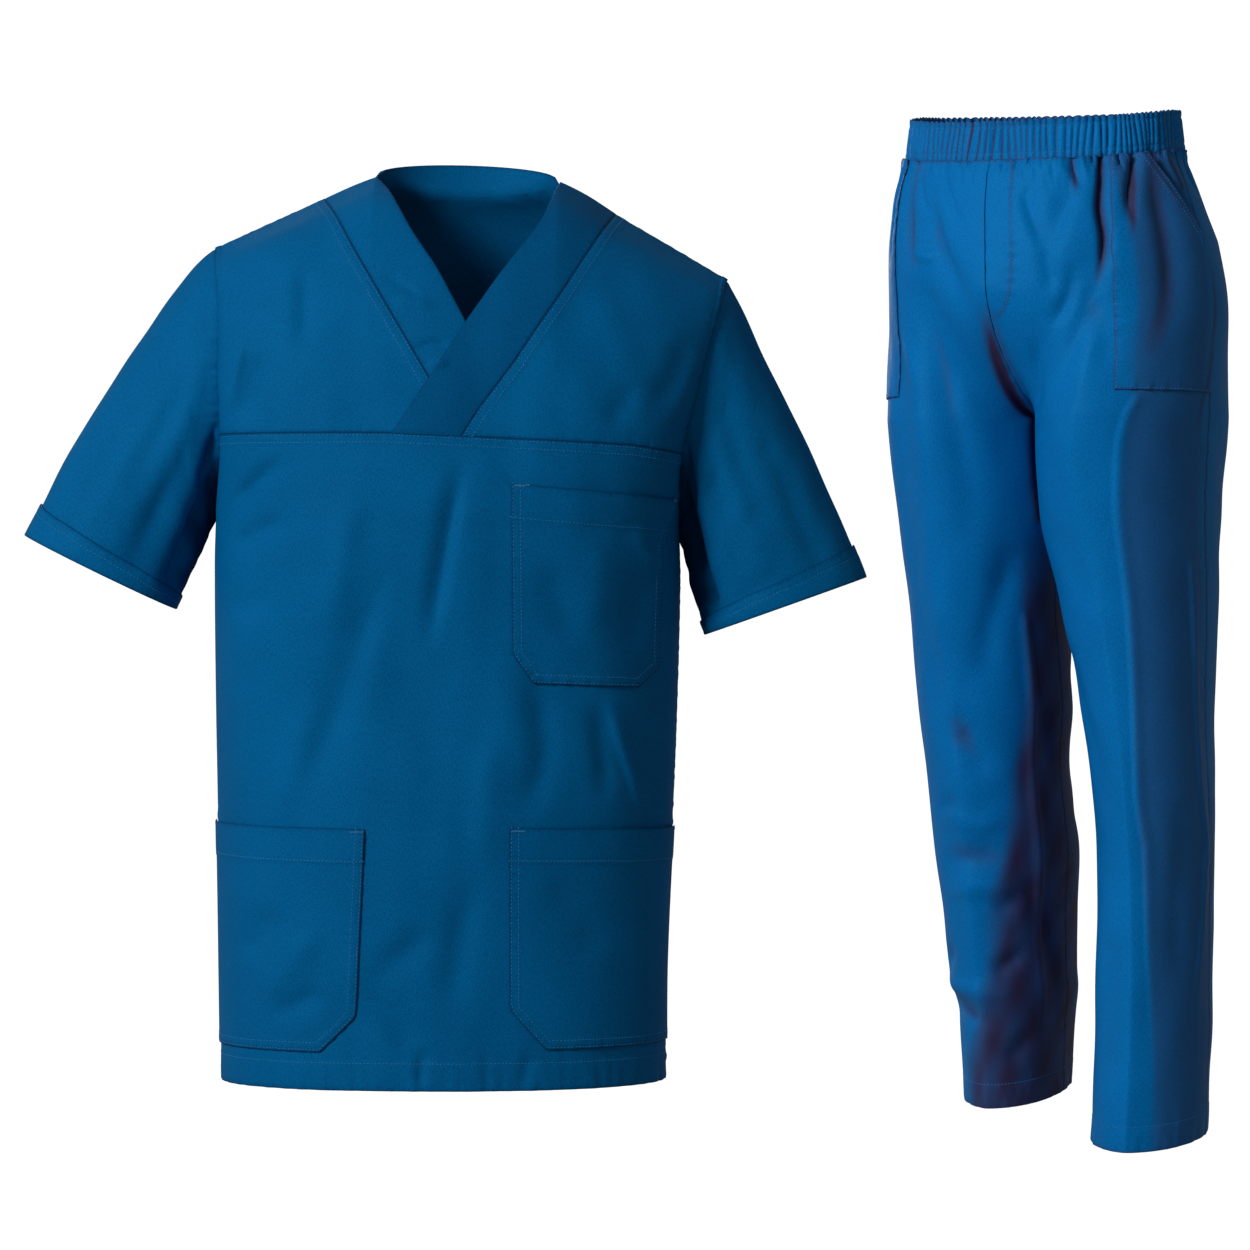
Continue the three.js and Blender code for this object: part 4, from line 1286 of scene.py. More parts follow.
class NodeKit:
    """Short ways to add and join shader nodes in one tree."""

    def __init__(self, tree: bpy.types.NodeTree) -> None:
        """Keep the tree."""
        self.tree = tree

    def add(self, kind: str, **values: object) -> bpy.types.Node:
        """Add a node and set its inputs (by name with spaces as _) or its own settings.

        Args:
            kind: Type of the node.
            values: Values of inputs, by name.

        Returns:
            The new node.
        """
        node = self.tree.nodes.new(kind)
        for name, value in values.items():
            title = name.replace("_", " ")
            if title in node.inputs:
                node.inputs[title].default_value = value
            else:
                setattr(node, name, value)
        return node

    def join(self, source: bpy.types.NodeSocket, target: bpy.types.NodeSocket) -> None:
        """Join two sockets."""
        self.tree.links.new(source, target)

    def maths(self, operation: str, a: object, b: object) -> bpy.types.NodeSocket:
        """Add a Math node on two sockets or numbers and return its output.

        Args:
            operation: What the node works out.
            a: First value or socket.
            b: Second value or socket.

        Returns:
            The node's output.
        """
        node = self.tree.nodes.new("ShaderNodeMath")
        node.operation = operation
        for k, value in enumerate((a, b)):
            if isinstance(value, (int, float)):
                node.inputs[k].default_value = value
            else:
                self.join(value, node.inputs[k])
        return node.outputs[0]


class TwillWeave:
    """The node group of the twill: its ribs, uneven yarns, soft colour drift and fine crumple, with painted
    shade in folds and along seams.
    """

    name = "twill_weave"

    def build(self) -> bpy.types.NodeTree:
        """Make the group once.

        Returns:
            The node group.
        """
        tree = bpy.data.node_groups.new(self.name, "ShaderNodeTree")
        face = tree.interface
        for name in ("Light", "Deep", "Shade"):
            face.new_socket(name, in_out="INPUT", socket_type="NodeSocketColor")
        for name in ("Matt", "Rib", "Crumple", "Pucker"):
            face.new_socket(name, in_out="INPUT", socket_type="NodeSocketFloat")
        face.new_socket("Color", in_out="OUTPUT", socket_type="NodeSocketColor")
        for name in ("Roughness", "Height"):
            face.new_socket(name, in_out="OUTPUT", socket_type="NodeSocketFloat")
        kit = NodeKit(tree)
        given = kit.add("NodeGroupInput")
        out = kit.add("NodeGroupOutput")
        uv = kit.add("ShaderNodeUVMap", uv_map="cloth")
        turned = kit.add("ShaderNodeMapping", Rotation=(0.0, 0.0, math.radians(61)))
        kit.join(uv.outputs[0], turned.inputs["Vector"])
        ribs = kit.add("ShaderNodeTexWave", Scale=300.0, Distortion=1.2, Detail=1.5, Detail_Scale=0.6)
        kit.join(turned.outputs[0], ribs.inputs["Vector"])
        yarn_space = kit.add("ShaderNodeMapping", Scale=(1100.0, 260.0, 1.0))
        kit.join(uv.outputs[0], yarn_space.inputs["Vector"])
        yarn = kit.add("ShaderNodeTexNoise", Scale=1.0, Detail=2.0, Roughness=0.6)
        kit.join(yarn_space.outputs[0], yarn.inputs["Vector"])
        speck = kit.add("ShaderNodeTexNoise", Scale=850.0, Detail=1.0)
        kit.join(uv.outputs[0], speck.inputs["Vector"])
        drift = kit.add("ShaderNodeTexNoise", Scale=9.0, Detail=3.0, Roughness=0.55)
        kit.join(uv.outputs[0], drift.inputs["Vector"])
        crumple = kit.add("ShaderNodeTexNoise", Scale=34.0, Detail=3.0, Roughness=0.5, Distortion=0.4)
        kit.join(uv.outputs[0], crumple.inputs["Vector"])
        seam = kit.add("ShaderNodeAttribute", attribute_name="seam")
        run = kit.add("ShaderNodeAttribute", attribute_name="run")
        tone = kit.maths("MULTIPLY", ribs.outputs["Fac"], 0.25)
        tone = kit.maths("ADD", tone, kit.maths("MULTIPLY", yarn.outputs["Fac"], 1.0))
        tone = kit.maths("ADD", tone, kit.maths("MULTIPLY", drift.outputs["Fac"], 0.5))
        tone = kit.maths("ADD", tone, kit.maths("MULTIPLY", speck.outputs["Fac"], 1.2))
        tone = kit.maths("SUBTRACT", tone, 0.95)
        # Painted shade along seams and panel edges: the tone sinks towards the deep colour near a seam.
        near = kit.maths("MULTIPLY", seam.outputs["Fac"], -0.45)
        near = kit.maths("EXPONENT", near, 0.0)
        tone = kit.maths("SUBTRACT", tone, kit.maths("MULTIPLY", near, 0.25))
        blend = kit.add("ShaderNodeMix", data_type="RGBA")
        kit.join(tone, blend.inputs[0])
        kit.join(given.outputs["Deep"], blend.inputs[6])
        kit.join(given.outputs["Light"], blend.inputs[7])
        # Painted shade: the colour blends towards the shade colour by the form's painted shade mask, and
        # strongly right at seams and panel edges.
        trough = kit.add("ShaderNodeAttribute", attribute_name="trough")
        shaded = kit.add("ShaderNodeMix", data_type="RGBA")
        edge = kit.maths("EXPONENT", kit.maths("MULTIPLY", seam.outputs["Fac"], -1.1), 0.0)
        edge = kit.maths("MULTIPLY", edge, 0.85)
        kit.join(kit.maths("MAXIMUM", trough.outputs["Fac"], edge), shaded.inputs[0])
        kit.join(blend.outputs[2], shaded.inputs[6])
        kit.join(given.outputs["Shade"], shaded.inputs[7])
        kit.join(shaded.outputs[2], out.inputs["Color"])
        rough = kit.maths("ADD", kit.maths("MULTIPLY", yarn.outputs["Fac"], 0.16), given.outputs["Matt"])
        kit.join(rough, out.inputs["Roughness"])
        height = kit.maths("MULTIPLY", ribs.outputs["Fac"], given.outputs["Rib"])
        height = kit.maths("ADD", height,
                           kit.maths("MULTIPLY", crumple.outputs["Fac"], given.outputs["Crumple"]))
        waves = kit.maths("SINE", kit.maths("MULTIPLY", run.outputs["Fac"], 1.35), 0.0)
        waves_two = kit.maths("SINE", kit.maths("MULTIPLY", run.outputs["Fac"], 0.83), 0.0)
        waves = kit.maths("ADD", waves, waves_two)
        fade = kit.maths("EXPONENT", kit.maths("MULTIPLY", seam.outputs["Fac"], -0.22), 0.0)
        waves = kit.maths("MULTIPLY", waves, fade)
        height = kit.maths("ADD", height, kit.maths("MULTIPLY", waves, given.outputs["Pucker"]))
        kit.join(height, out.inputs["Height"])
        return tree


@dataclass(frozen=True)
class ClothFinish:
    """A twill's colours and hand."""

    name: str
    light: tuple[float, float, float]
    deep: tuple[float, float, float]
    # colour of the painted shade in folds, gaps and along seams
    shade: tuple[float, float, float]
    sheen: float
    gloss: float
    matt: float
    rib: float = 0.05
    crumple: float = 0.55
    pucker: float = 0.05

    def build(self, weave: bpy.types.NodeTree) -> bpy.types.Material:
        """Make the material.

        Args:
            weave: The shared node group.

        Returns:
            The material.
        """
        material = bpy.data.materials.new(self.name)
        material.use_nodes = True
        kit = NodeKit(material.node_tree)
        shader = material.node_tree.nodes["Principled BSDF"]
        group = kit.add("ShaderNodeGroup", node_tree=weave)
        for name, colour in (("Light", self.light), ("Deep", self.deep), ("Shade", self.shade)):
            group.inputs[name].default_value = (*colour, 1.0)
        for name, value in (("Matt", self.matt), ("Rib", self.rib), ("Crumple", self.crumple),
                            ("Pucker", self.pucker)):
            group.inputs[name].default_value = value
        kit.join(group.outputs["Color"], shader.inputs["Base Color"])
        kit.join(group.outputs["Roughness"], shader.inputs["Roughness"])
        bump = kit.add("ShaderNodeBump", Strength=1.0, Distance=0.001)
        kit.join(group.outputs["Height"], bump.inputs["Height"])
        kit.join(bump.outputs["Normal"], shader.inputs["Normal"])
        shader.inputs["Specular IOR Level"].default_value = self.gloss
        shader.inputs["Sheen Weight"].default_value = self.sheen
        shader.inputs["Sheen Roughness"].default_value = 0.45
        shader.inputs["Sheen Tint"].default_value = (0.05, 0.45, 1.0, 1.0)
        shader.inputs["Specular Tint"].default_value = (0.12, 0.6, 1.0, 1.0)
        return material


@dataclass(frozen=True)
class ThreadFinish:
    """Sewing thread: a little lighter than its cloth, with twisted plies."""

    name: str
    colour: tuple[float, float, float]

    def build(self) -> bpy.types.Material:
        """Make the material.

        Returns:
            The material.
        """
        material = bpy.data.materials.new(self.name)
        material.use_nodes = True
        kit = NodeKit(material.node_tree)
        shader = material.node_tree.nodes["Principled BSDF"]
        place = kit.add("ShaderNodeTexCoord")
        plies = kit.add("ShaderNodeTexNoise", Scale=2600.0, Detail=1.0)
        kit.join(place.outputs["Object"], plies.inputs["Vector"])
        blend = kit.add("ShaderNodeMix", data_type="RGBA")
        kit.join(plies.outputs["Fac"], blend.inputs[0])
        blend.inputs[6].default_value = (*(c * 0.72 for c in self.colour), 1.0)
        blend.inputs[7].default_value = (*(min(1.0, c * 1.25) for c in self.colour), 1.0)
        kit.join(blend.outputs[2], shader.inputs["Base Color"])
        bump = kit.add("ShaderNodeBump", Strength=0.6, Distance=0.0002)
        kit.join(plies.outputs["Fac"], bump.inputs["Height"])
        kit.join(bump.outputs["Normal"], shader.inputs["Normal"])
        shader.inputs["Roughness"].default_value = 0.5
        return material


@dataclass
class Finishes:
    """All finishes of the set."""

    top: bpy.types.Material
    trousers: bpy.types.Material
    top_thread: bpy.types.Material
    trouser_thread: bpy.types.Material


@dataclass
class Pocket:
    """A patch pocket in the front view: its outline begins with the two ends of the mouth."""

    name: str
    outline: list[tuple[float, float]]
    hem: float
    flat: tuple[float, float]
    area: float


@dataclass
class Top:
    """The top: body, yokes, crossed neck bands, patch pockets and sleeves."""

    finishes: Finishes
    stitches: Stitches = field(default_factory=lambda: Stitches("stitching_top", "top_twill"))
    step: float = 2.5
    inner_left: tuple = ((82, 5), (70, -30), (60, -45.5), (33.5, -81), (2.5, -125.5), (-27, -172.5),
                         (-59.6, -222.5))
    outer_left: tuple = ((131, -23), (107.5, -62), (84, -100), (61, -135), (44, -161), (13.5, -202),
                         (-0.5, -225))
    inner_right: tuple = ((-79.6, 9.8), (-66, -5.5), (-44, -45), (-22.5, -76.5), (3.6, -125.5), (12, -141))
    outer_right: tuple = ((-125.6, -9.9), (-111.4, -29.4), (-94, -61), (-69.4, -103), (-28.6, -172.7),
                          (-20, -187))

    def __post_init__(self) -> None:
        """Make the forms that all panels of the top share."""
        # columns: x and z of the crease's start, middle and end, then width, depth and skew
        creases = [
            (2.5, -238, -9, -300, -29, -415, 9, -6.5, 0.25),
            (-60, -323, -83, -386, -129, -535, 16, -6, 0.2), (-92, -262, -104, -330, -120, -400, 14, 4),
            (57, -420, 70, -500, 45, -552, 13, -5), (122, -440, 143, -506, 162, -562, 7, 4.5, -0.3),
            (110, -446, 119, -490, 124, -545, 9, -3.5), (-149, -240, -178, -263, -204, -286, 9, -5.5),
            (-149, -294, -175, -306, -204, -323, 10, -5.5), (-160, -360, -190, -368, -206, -372, 12, -3),
            (-140, -66, -137, -105, -138, -155, 10, -4), (-189, -130, -199, -175, -207, -214, 8, 4.5, 0.3),
            (-176, -145, -183, -188, -196, -216, 9, -4), (194, -128, 180, -178, 152, -205, 13, -4.5),
            (148, -172, 137, -198, 120, -216, 11, -2.5), (120, -90, 135, -140, 138, -180, 15, 2.5),
            (-155, -627, -172, -652, -190, -678, 14, -4.5), (-115, -640, -150, -680, -180, -715, 12, 3),
            (-115, -695, -140, -712, -167, -724, 11, -4), (-15, -645, -50, -668, -80, -700, 13, -3),
            (-92, -683, -60, -720, -30, -765, 12, -3), (18, -590, 0, -650, -12, -730, 14, -3),
            (70, -600, 97, -634, 120, -680, 17, -3), (74, -325, 86, -372, 97, -410, 14, -3),
            (144, -295, 158, -322, 174, -346, 7, 3), (164, -326, 150, -370, 152, -415, 13, -3),
            (112, -300, 116, -350, 106, -402, 14, 2.5), (-72, -86, -52, -94, -34, -107, 4.5, -2),
            (-62, -112, -44, -108, -22, -115, 4, 1.8), (-42, -150, -25, -145, -8, -150, 4, -2),
            (-30, -168, -20, -161, -10, -164, 3.5, 1.6), (-30, -745, -34, -765, -36, -784, 6, -2.5),
            (60, -752, 55, -770, 56, -784, 7, -2), (-120, -440, -150, -520, -160, -570, 15, 3.5),
            (30, -470, 20, -540, 25, -600, 14, 3),
        ]
        folds = [Crease(((a, b), (c, d), (e, f)), *shape) for a, b, c, d, e, f, *shape in creases]
        back_folds = [
            Fold(-60, -190, -110, -420, 20, -6), Fold(45, -200, 80, -430, 20, -5),
            Fold(-15, -330, -20, -600, 24, 5), Fold(-140, -400, -120, -640, 18, -5),
            Fold(110, -420, 95, -660, 18, -5), Fold(-175, -150, -165, -270, 12, -5),
            Fold(165, -160, 150, -290, 12, -5),
        ]
        waves = [Waves(11, 90, 190, 1.8, 2.2), Waves(12, 34, 70, 0.45, 1.8)]
        back_waves = [Waves(13, 90, 190, 1.5, 2.4), Waves(14, 34, 70, 0.4, 1.8)]
        self.front = TorsoForm(Face.FRONT, folds + waves)
        self.back = TorsoForm(Face.BACK, back_folds + back_waves)
        cuffs = {
            Side.RIGHT: CuffSize((-388, -308), (-259, -371), (-0.82, -0.57)),
            Side.LEFT: CuffSize((351, -345), (213, -394), (0.42, -0.9)),
        }
        self.sleeves = {}
        for side, cuff in cuffs.items():
            girth, length = SleeveForm.girth, SleeveForm.length
            rows = [
                (0.3, 0.28, 0.26, 0.62, 15, -3), (0.15, 0.02, 0.12, 0.3, 10, -8),
                (0.09, 0.0, 0.07, 0.92, 15, -8), (0.2, 0.4, 0.185, 0.88, 13, -4),
                (0.07, 0.12, 0.08, 0.82, 9, -7), (0.36, 0.5, 0.34, 0.95, 13, -3.5),
                (0.25, 0.3, 0.23, 0.8, 13, 2.5),
                (0.78, 0.2, 0.82, 0.85, 14, -6), (0.9, 0.05, 0.9, 0.6, 12, -6),
                (0.66, 0.4, 0.68, 0.9, 12, -4),
            ]
            lifts = [Fold(a * girth, b * length, c * girth, d * length, w, h) for a, b, c, d, w, h in rows]
            lifts += [Waves(20 + side.value, 60, 120, 0.9, 1.6), Waves(24 + side.value, 26, 50, 0.3, 1.5)]
            self.sleeves[side] = SleeveForm(side, cuff, self.front, self.back, lifts)

    def finish(self, panel: Panel) -> bpy.types.Object:
        """Build a panel in the top's twill."""
        return panel.build(self.finishes.top, self.stitches, "top_twill")

    def yoke_height(self, across: Cloud) -> Cloud:
        """Height coordinate of the yoke seam at places across the front.

        Args:
            across: Shares across the body, from -1 to 1.

        Returns:
            Heights of the yoke seam.
        """
        height = np.full(np.shape(across), 1.2)
        for _ in range(6):
            x = self.front.bare(across, height)[..., 0]
            z = np.interp(x, YOKE_SEAM[:, 0], YOKE_SEAM[:, 1])
            height = 1 + (z - armpit_z(x)) / (shoulder_z(x) - armpit_z(x))
        return height

    def body_grid(self, form: TorsoForm, upper: Cloud, s: Cloud, t: Cloud) -> tuple[Cloud, Cloud]:
        """Grid of the body from the hem up to an upper border.

        Args:
            form: Front or back form.
            upper: Height of the upper border at each column.
            s: Shares of the columns.
            t: Shares of the rows.

        Returns:
            The grid's across and height coordinates.
        """
        across = np.interp(s * 2 - 1, *form.even)
        height = t[:, None] * upper[None, :]
        return across[None, :] * form.seam_share(height), height

    def side_path(self, form: TorsoForm, sign: float, low: float, high: float) -> Cloud:
        """Path of a side seam or armhole edge between two heights."""
        height = np.linspace(low, high, 40)
        return pair(sign * form.seam_share(height), height)

    def hem_path(self, form: TorsoForm, z: float) -> Cloud:
        """Path parallel to the hem at a height above it."""
        across = np.interp(np.linspace(-0.995, 0.995, 80), *form.even)
        return pair(across, np.full(80, z / TORSO_HEIGHT))

    def build_front(self) -> None:
        """Make the front body below the yoke seam."""
        form = self.front
        s = spaced(form.width, self.step)
        upper = self.yoke_height(np.interp(s * 2 - 1, *form.even))
        t = spaced(565, self.step, (HEM_ROW,), TOP_ROWS)
        u, v = self.body_grid(form, upper, s, t)
        yoke = pair(u[-1], v[-1])
        seams = [
            Seam(yoke, rows=TOP_ROWS, allowance=10, lift=0.5, pucker=0.22, seed=31),
            Seam(self.hem_path(form, 0.0), rows=(HEM_ROW,), allowance=24.5, lift=0.35, pucker=0.4, pitch=14,
                 reach=24, seed=32),
            Seam(self.side_path(form, 1, 0, 1), pucker=0.3, seed=33),
            Seam(self.side_path(form, -1, 0, 1), pucker=0.3, seed=34),
        ]
        self.finish(Panel("front_body", form, u, v, (0.62, 0.58), 0.335, seams=seams,
                          relief=self.pocket_pull))

    def pocket_pull(self, u: Cloud, v: Cloud, base: Cloud) -> Cloud:
        """Small puckers of the body beside the pockets sewn on it.

        Args:
            u: Places along the form's first coordinate.
            v: Not used.
            base: Points of the panel's grid.

        Returns:
            The lift of the cloth there.
        """
        out = np.zeros(u.shape)
        x = base[..., 0]
        z = base[..., 2]
        for k, pocket in enumerate(self.pockets()):
            corners = np.array(pocket.outline)
            for corner in corners[:2]:
                gap = np.hypot(x - corner[0], z - corner[1])
                out += 0.7 * np.exp(-(gap / 9) ** 2) * np.sin((x + z) * 0.35 + k)
        return out

    def build_back(self) -> None:
        """Make the back from the hem to the shoulders and the back neck."""
        form = self.back
        s = spaced(form.width, self.step + 1.0)
        t = spaced(790, self.step + 1.4, (HEM_ROW,))
        u, v = self.body_grid(form, np.full(len(s), OPEN_TOP), s, t)
        neck = np.array([form.locate(np.array([[x, 200.0]]))[0] for x in np.linspace(-80, 80, 50)])
        seams = [
            Seam(self.hem_path(form, 0.0), rows=(HEM_ROW,), allowance=24.5, lift=0.35, pucker=0.4, pitch=14,
                 reach=24, seed=42),
            Seam(self.side_path(form, 1, 0, 1.999), pucker=0.3, seed=43),
            Seam(self.side_path(form, -1, 0, 1.999), pucker=0.3, seed=44),
            Seam(neck, rows=(2.5,), pucker=0.15, seed=45),
        ]
        self.finish(Panel("back_body", form, u, v, (0.66, 0.84), 0.45, seams=seams))

    def xz_path(self, points: tuple, count: int = 60) -> Cloud:
        """Path through points of the front view, in the front's own coordinates.

        Args:
            points: Points to place.
            count: Number of points.

        Returns:
            The path in the form's coordinates.
        """
        line = resample(np.array(points, dtype=float), 4.0)
        at = np.linspace(0, len(line) - 1, count)
        line = np.stack([np.interp(at, np.arange(len(line)), line[:, k]) for k in range(2)], axis=1)
        return self.front.locate(line)

    def build_yokes(self) -> None:
        """Make both front yokes beside the neck bands."""
        form = self.front
        for side in Side:
            sign = float(side.value)
            outer = self.outer_left if side is Side.LEFT else self.outer_right
            band = self.xz_path(outer if side is Side.LEFT else outer + ((-33, -222.5),))
            end = band[-1]
            edge_height = float(self.yoke_height(np.array([sign]))[0])
            low_across = np.linspace(sign, end[0], 60)
            low = pair(low_across, self.yoke_height(low_across))
            band[-1] = low[-1]
            heights = 1 + 0.9995 * np.sin(np.linspace(np.arcsin((edge_height - 1) / 0.9995), np.pi / 2, 60))
            arm = pair(np.full(60, sign), heights)
            high = pair(np.linspace(sign, band[0][0], 60), np.full(60, OPEN_TOP))
            band_up = band[::-1].copy()
            band_up[-1] = high[-1]
            arm[0] = low[0]
            arm[-1] = high[0]
            s = spaced(200, 2.2, (), TOP_ROWS) if side is Side.RIGHT else spaced(200, 2.2, TOP_ROWS)
            t = spaced(210, 2.2)
            if side is Side.RIGHT:
                u, v = coons(low, high, arm, band_up, s, t)
            else:
                u, v = coons(low[::-1], high[::-1], band_up, arm, s, t)
            seams = [
                Seam(low, pucker=0.25, seed=51 + side.value),
                Seam(self.xz_path(outer), rows=TOP_ROWS, allowance=10, lift=0.45, pucker=0.16,
                     seed=54 + side.value),
                Seam(arm, allowance=5, lift=0.7, pucker=0.25, seed=57 + side.value),
                Seam(high, pucker=0.2, seed=60 + side.value),
            ]
            name = f"front_yoke_{side.name.lower()}"
            self.finish(Panel(name, form, u, v, (0.2, 0.24), 0.034, seams=seams))

    def build_bands(self) -> None:
        """Make the crossed neck bands: the left one lies over the right one."""
        form = self.front
        for side in Side:
            left = side is Side.LEFT
            inner = np.array(self.inner_left if left else self.inner_right, dtype=float)
            outer = np.array(self.outer_left if left else self.outer_right, dtype=float)
            t = spaced(270 if left else 190, 2.2)[::-1]
            s = spaced(52, 1.7)

            def along(line: Cloud, share: Cloud) -> Cloud:
                """Points at shares of a border's length, on a smoothed line.

                Args:
                    line: Points of the line.
                    share: Shares of its length.

                Returns:
                    Points there.
                """
                dense = resample(line, 2.0)
                kernel = np.ones(9) / 9
                padded = np.vstack([2 * dense[0] - dense[4:0:-1], dense, 2 * dense[-1] - dense[-2:-6:-1]])
                soft = np.stack([np.convolve(padded[:, k], kernel, "valid") for k in range(2)], axis=1)
                at = share * (len(soft) - 1)
                return np.stack([np.interp(at, np.arange(len(soft)), soft[:, k]) for k in range(2)], axis=1)

            a = along(inner, t)
            b = along(outer, t)
            if not left:
                a, b = b, a
            grid = a[:, None] * (1 - s)[None, :, None] + b[:, None] * s[None, :, None]
            where = form.locate(grid.reshape(-1, 2)).reshape(*grid.shape)
            u, v = where[..., 0], where[..., 1]
            v[-1] = np.minimum(v[-1], OPEN_TOP)
            share = s if left else 1 - s
            if left:
                crossing = mix(1.7, 0.5, smooth((share - 0.4) / 0.6))
                layer = crossing[None, :] * smooth((1.0 - t) * 30 + 0.25)[:, None]
            else:
                layer = np.zeros((len(t), len(s)))
            sag = (lambda u, v, base, w=share: (0.9 * np.sin(np.pi * w) ** 0.7)[None, :] * np.ones_like(u))
            seams = [
                Seam(pair(u[:, 0], v[:, 0]), pucker=0.12, pitch=16, reach=12, seed=71),
                Seam(pair(u[:, -1], v[:, -1]), pucker=0.12, pitch=16, reach=12, seed=72),
            ]
            name = f"neck_band_{side.name.lower()}"
            flat = (0.056, 0.29) if left else (0.056, 0.2)
            self.finish(Panel(name, form, u, v, flat, seams=seams, layer=layer, relief=sag, thick=1.3,
                              tone=0.3 if left else 0.0))

    def pockets(self) -> list[Pocket]:
        """The three patch pockets."""
        return [
            Pocket("pocket_chest",
                   [(42.5, -265), (183, -276), (171, -320), (168, -423), (150, -440), (61, -436),
                                    (43.5, -412)], 31, (0.15, 0.18), 0.0255),
            Pocket("pocket_lower_right", [(-214.5, -557.5), (-82, -560.5), (-90, -721), (-121, -752),
                                          (-214.5, -752)], 30, (0.21, 0.2), 0.038),
            Pocket("pocket_lower_left",
                   [(41, -559), (181, -562.5), (175.5, -750), (71.5, -750), (41, -716)],
                   30, (0.21, 0.2), 0.038),
        ]

    def build_pockets(self) -> None:
        """Make the patch pockets on the front body."""
        form = self.front
        for k, pocket in enumerate(self.pockets()):
            line = pocket.outline
            chest = k == 0
            if chest:
                low, right, left = line[4:6][::-1], line[1:5][::-1], [line[5], line[6], line[0]]
            elif k == 1:
                low, right, left = [line[4], line[3]], [line[3], line[2], line[1]], [line[4], line[0]]
            else:
                low, right, left = [line[3], line[2]], [line[2], line[1]], [line[3], line[4], line[0]]
            high = [line[0], line[1]]
            borders = [self.xz_path(tuple(b), 50) for b in (low, high, left, right)]
            outer_edge = {1: (2, -1.0), 2: (3, 1.0)}.get(k)
            if outer_edge:
                border, sign = outer_edge
                edge = borders[border]
                edge[:, 0] = sign * form.seam_share(edge[:, 1])
                corner = 0 if sign < 0 else -1
                borders[0][corner] = edge[0]
                borders[1][corner] = edge[-1]
                for b in borders[:2]:
                    b[:, 0] = np.linspace(b[0, 0], b[-1, 0], len(b))
            borders[2][0], borders[2][-1] = borders[0][0], borders[1][0]
            borders[3][0], borders[3][-1] = borders[0][-1], borders[1][-1]
            wide = 130 if chest else 185
            tall = 165 if chest else 192
            s = spaced(wide, 2.0, POCKET_ROWS, POCKET_ROWS)
            t = spaced(tall, 2.0, POCKET_ROWS, (pocket.hem - 2.0,))
            u, v = coons(*borders, s, t)
            mouth = borders[1]
            edges = [borders[2][::-1], borders[0], borders[3]]
            if k == 1:
                edges = [borders[0], borders[3]]
            if k == 2:
                edges = [borders[2][::-1], borders[0]]
            sewn = np.vstack([edges[0]] + [e[1:] for e in edges[1:]])
            hem = pocket.hem
            seams = [
                Seam(sewn, rows=POCKET_ROWS, allowance=9, lift=0.3, pucker=0.22, pitch=10, reach=7,
                     seed=80 + k),
                Seam(mouth, rows=(hem - 2.0,), allowance=hem, lift=0.6, pucker=0.1, pitch=18, reach=20,
                     seed=84 + k),
            ]

            def belly(u: Cloud, v: Cloud, base: Cloud, s: Cloud = s, t: Cloud = t) -> Cloud:
                """The pocket stands off a little below its open mouth."""
                return 2.2 * np.sin(np.pi * s)[None, :] ** 1.5 * (smooth((t - 0.25) / 0.75) ** 2)[:, None]

            step_in = 9.0 / wide
            corners = ((mouth[0], mouth[-1]), (mouth[-1], mouth[0]))
            bars = [[a + (b - a) * step_in * 0.2, a + (b - a) * step_in] for a, b in corners]
            bars = [[(a[0], a[1] - 0.006), (b[0], b[1] - 0.006)] for a, b in bars]
            self.finish(Panel(pocket.name, form, u, v, pocket.flat, pocket.area, seams=seams,
                              layer=1.5, relief=belly, bars=bars))

    def build_sleeves(self) -> None:
        """Make the sleeves and their turned-up cuffs."""
        for side, form in self.sleeves.items():
            name = side.name.lower()
            s = np.arange(156) / 156
            t = spaced(240, 2.4)
            u, v = np.meshgrid(s, 0.001 + 0.996 * t)
            around = np.linspace(0, 1, 81)[:-1]
            head = pair(around, np.full(80, 0.001))
            seams = [Seam(head, allowance=1.6, lift=-0.9, pucker=0.5, pitch=13, reach=12,
                          seed=90 + side.value, closed=True)]
            self.finish(Panel(f"sleeve_{name}", form, u, v, (0.4, 0.3), 0.1, seams=seams,
                              tube=True))
            share = 1 - CUFF_HEIGHT / 285
            t = spaced(CUFF_HEIGHT, 1.8, (CUFF_ROW,))
            u, v = np.meshgrid(s, share + (0.999 - share) * t)
            low = pair(around, np.full(80, 0.999))
            high = pair(around, np.full(80, share))
            seams = [
                Seam(high, rows=(CUFF_ROW,), pucker=0.2, pitch=14, reach=8, seed=95 + side.value,
                     closed=True),
                Seam(low, pucker=0.15, pitch=20, reach=10, seed=98 + side.value, closed=True),
            ]
            self.finish(Panel(f"cuff_{name}", form, u, v, (0.37, 0.034), seams=seams, layer=1.7,
                              tube=True, thick=1.7))

    def build(self) -> None:
        """Make all pieces of the top."""
        self.build_front()
        self.build_back()
        self.build_yokes()
        self.build_bands()
        self.build_pockets()
        self.build_sleeves()
        self.stitches.build(self.finishes.top_thread)


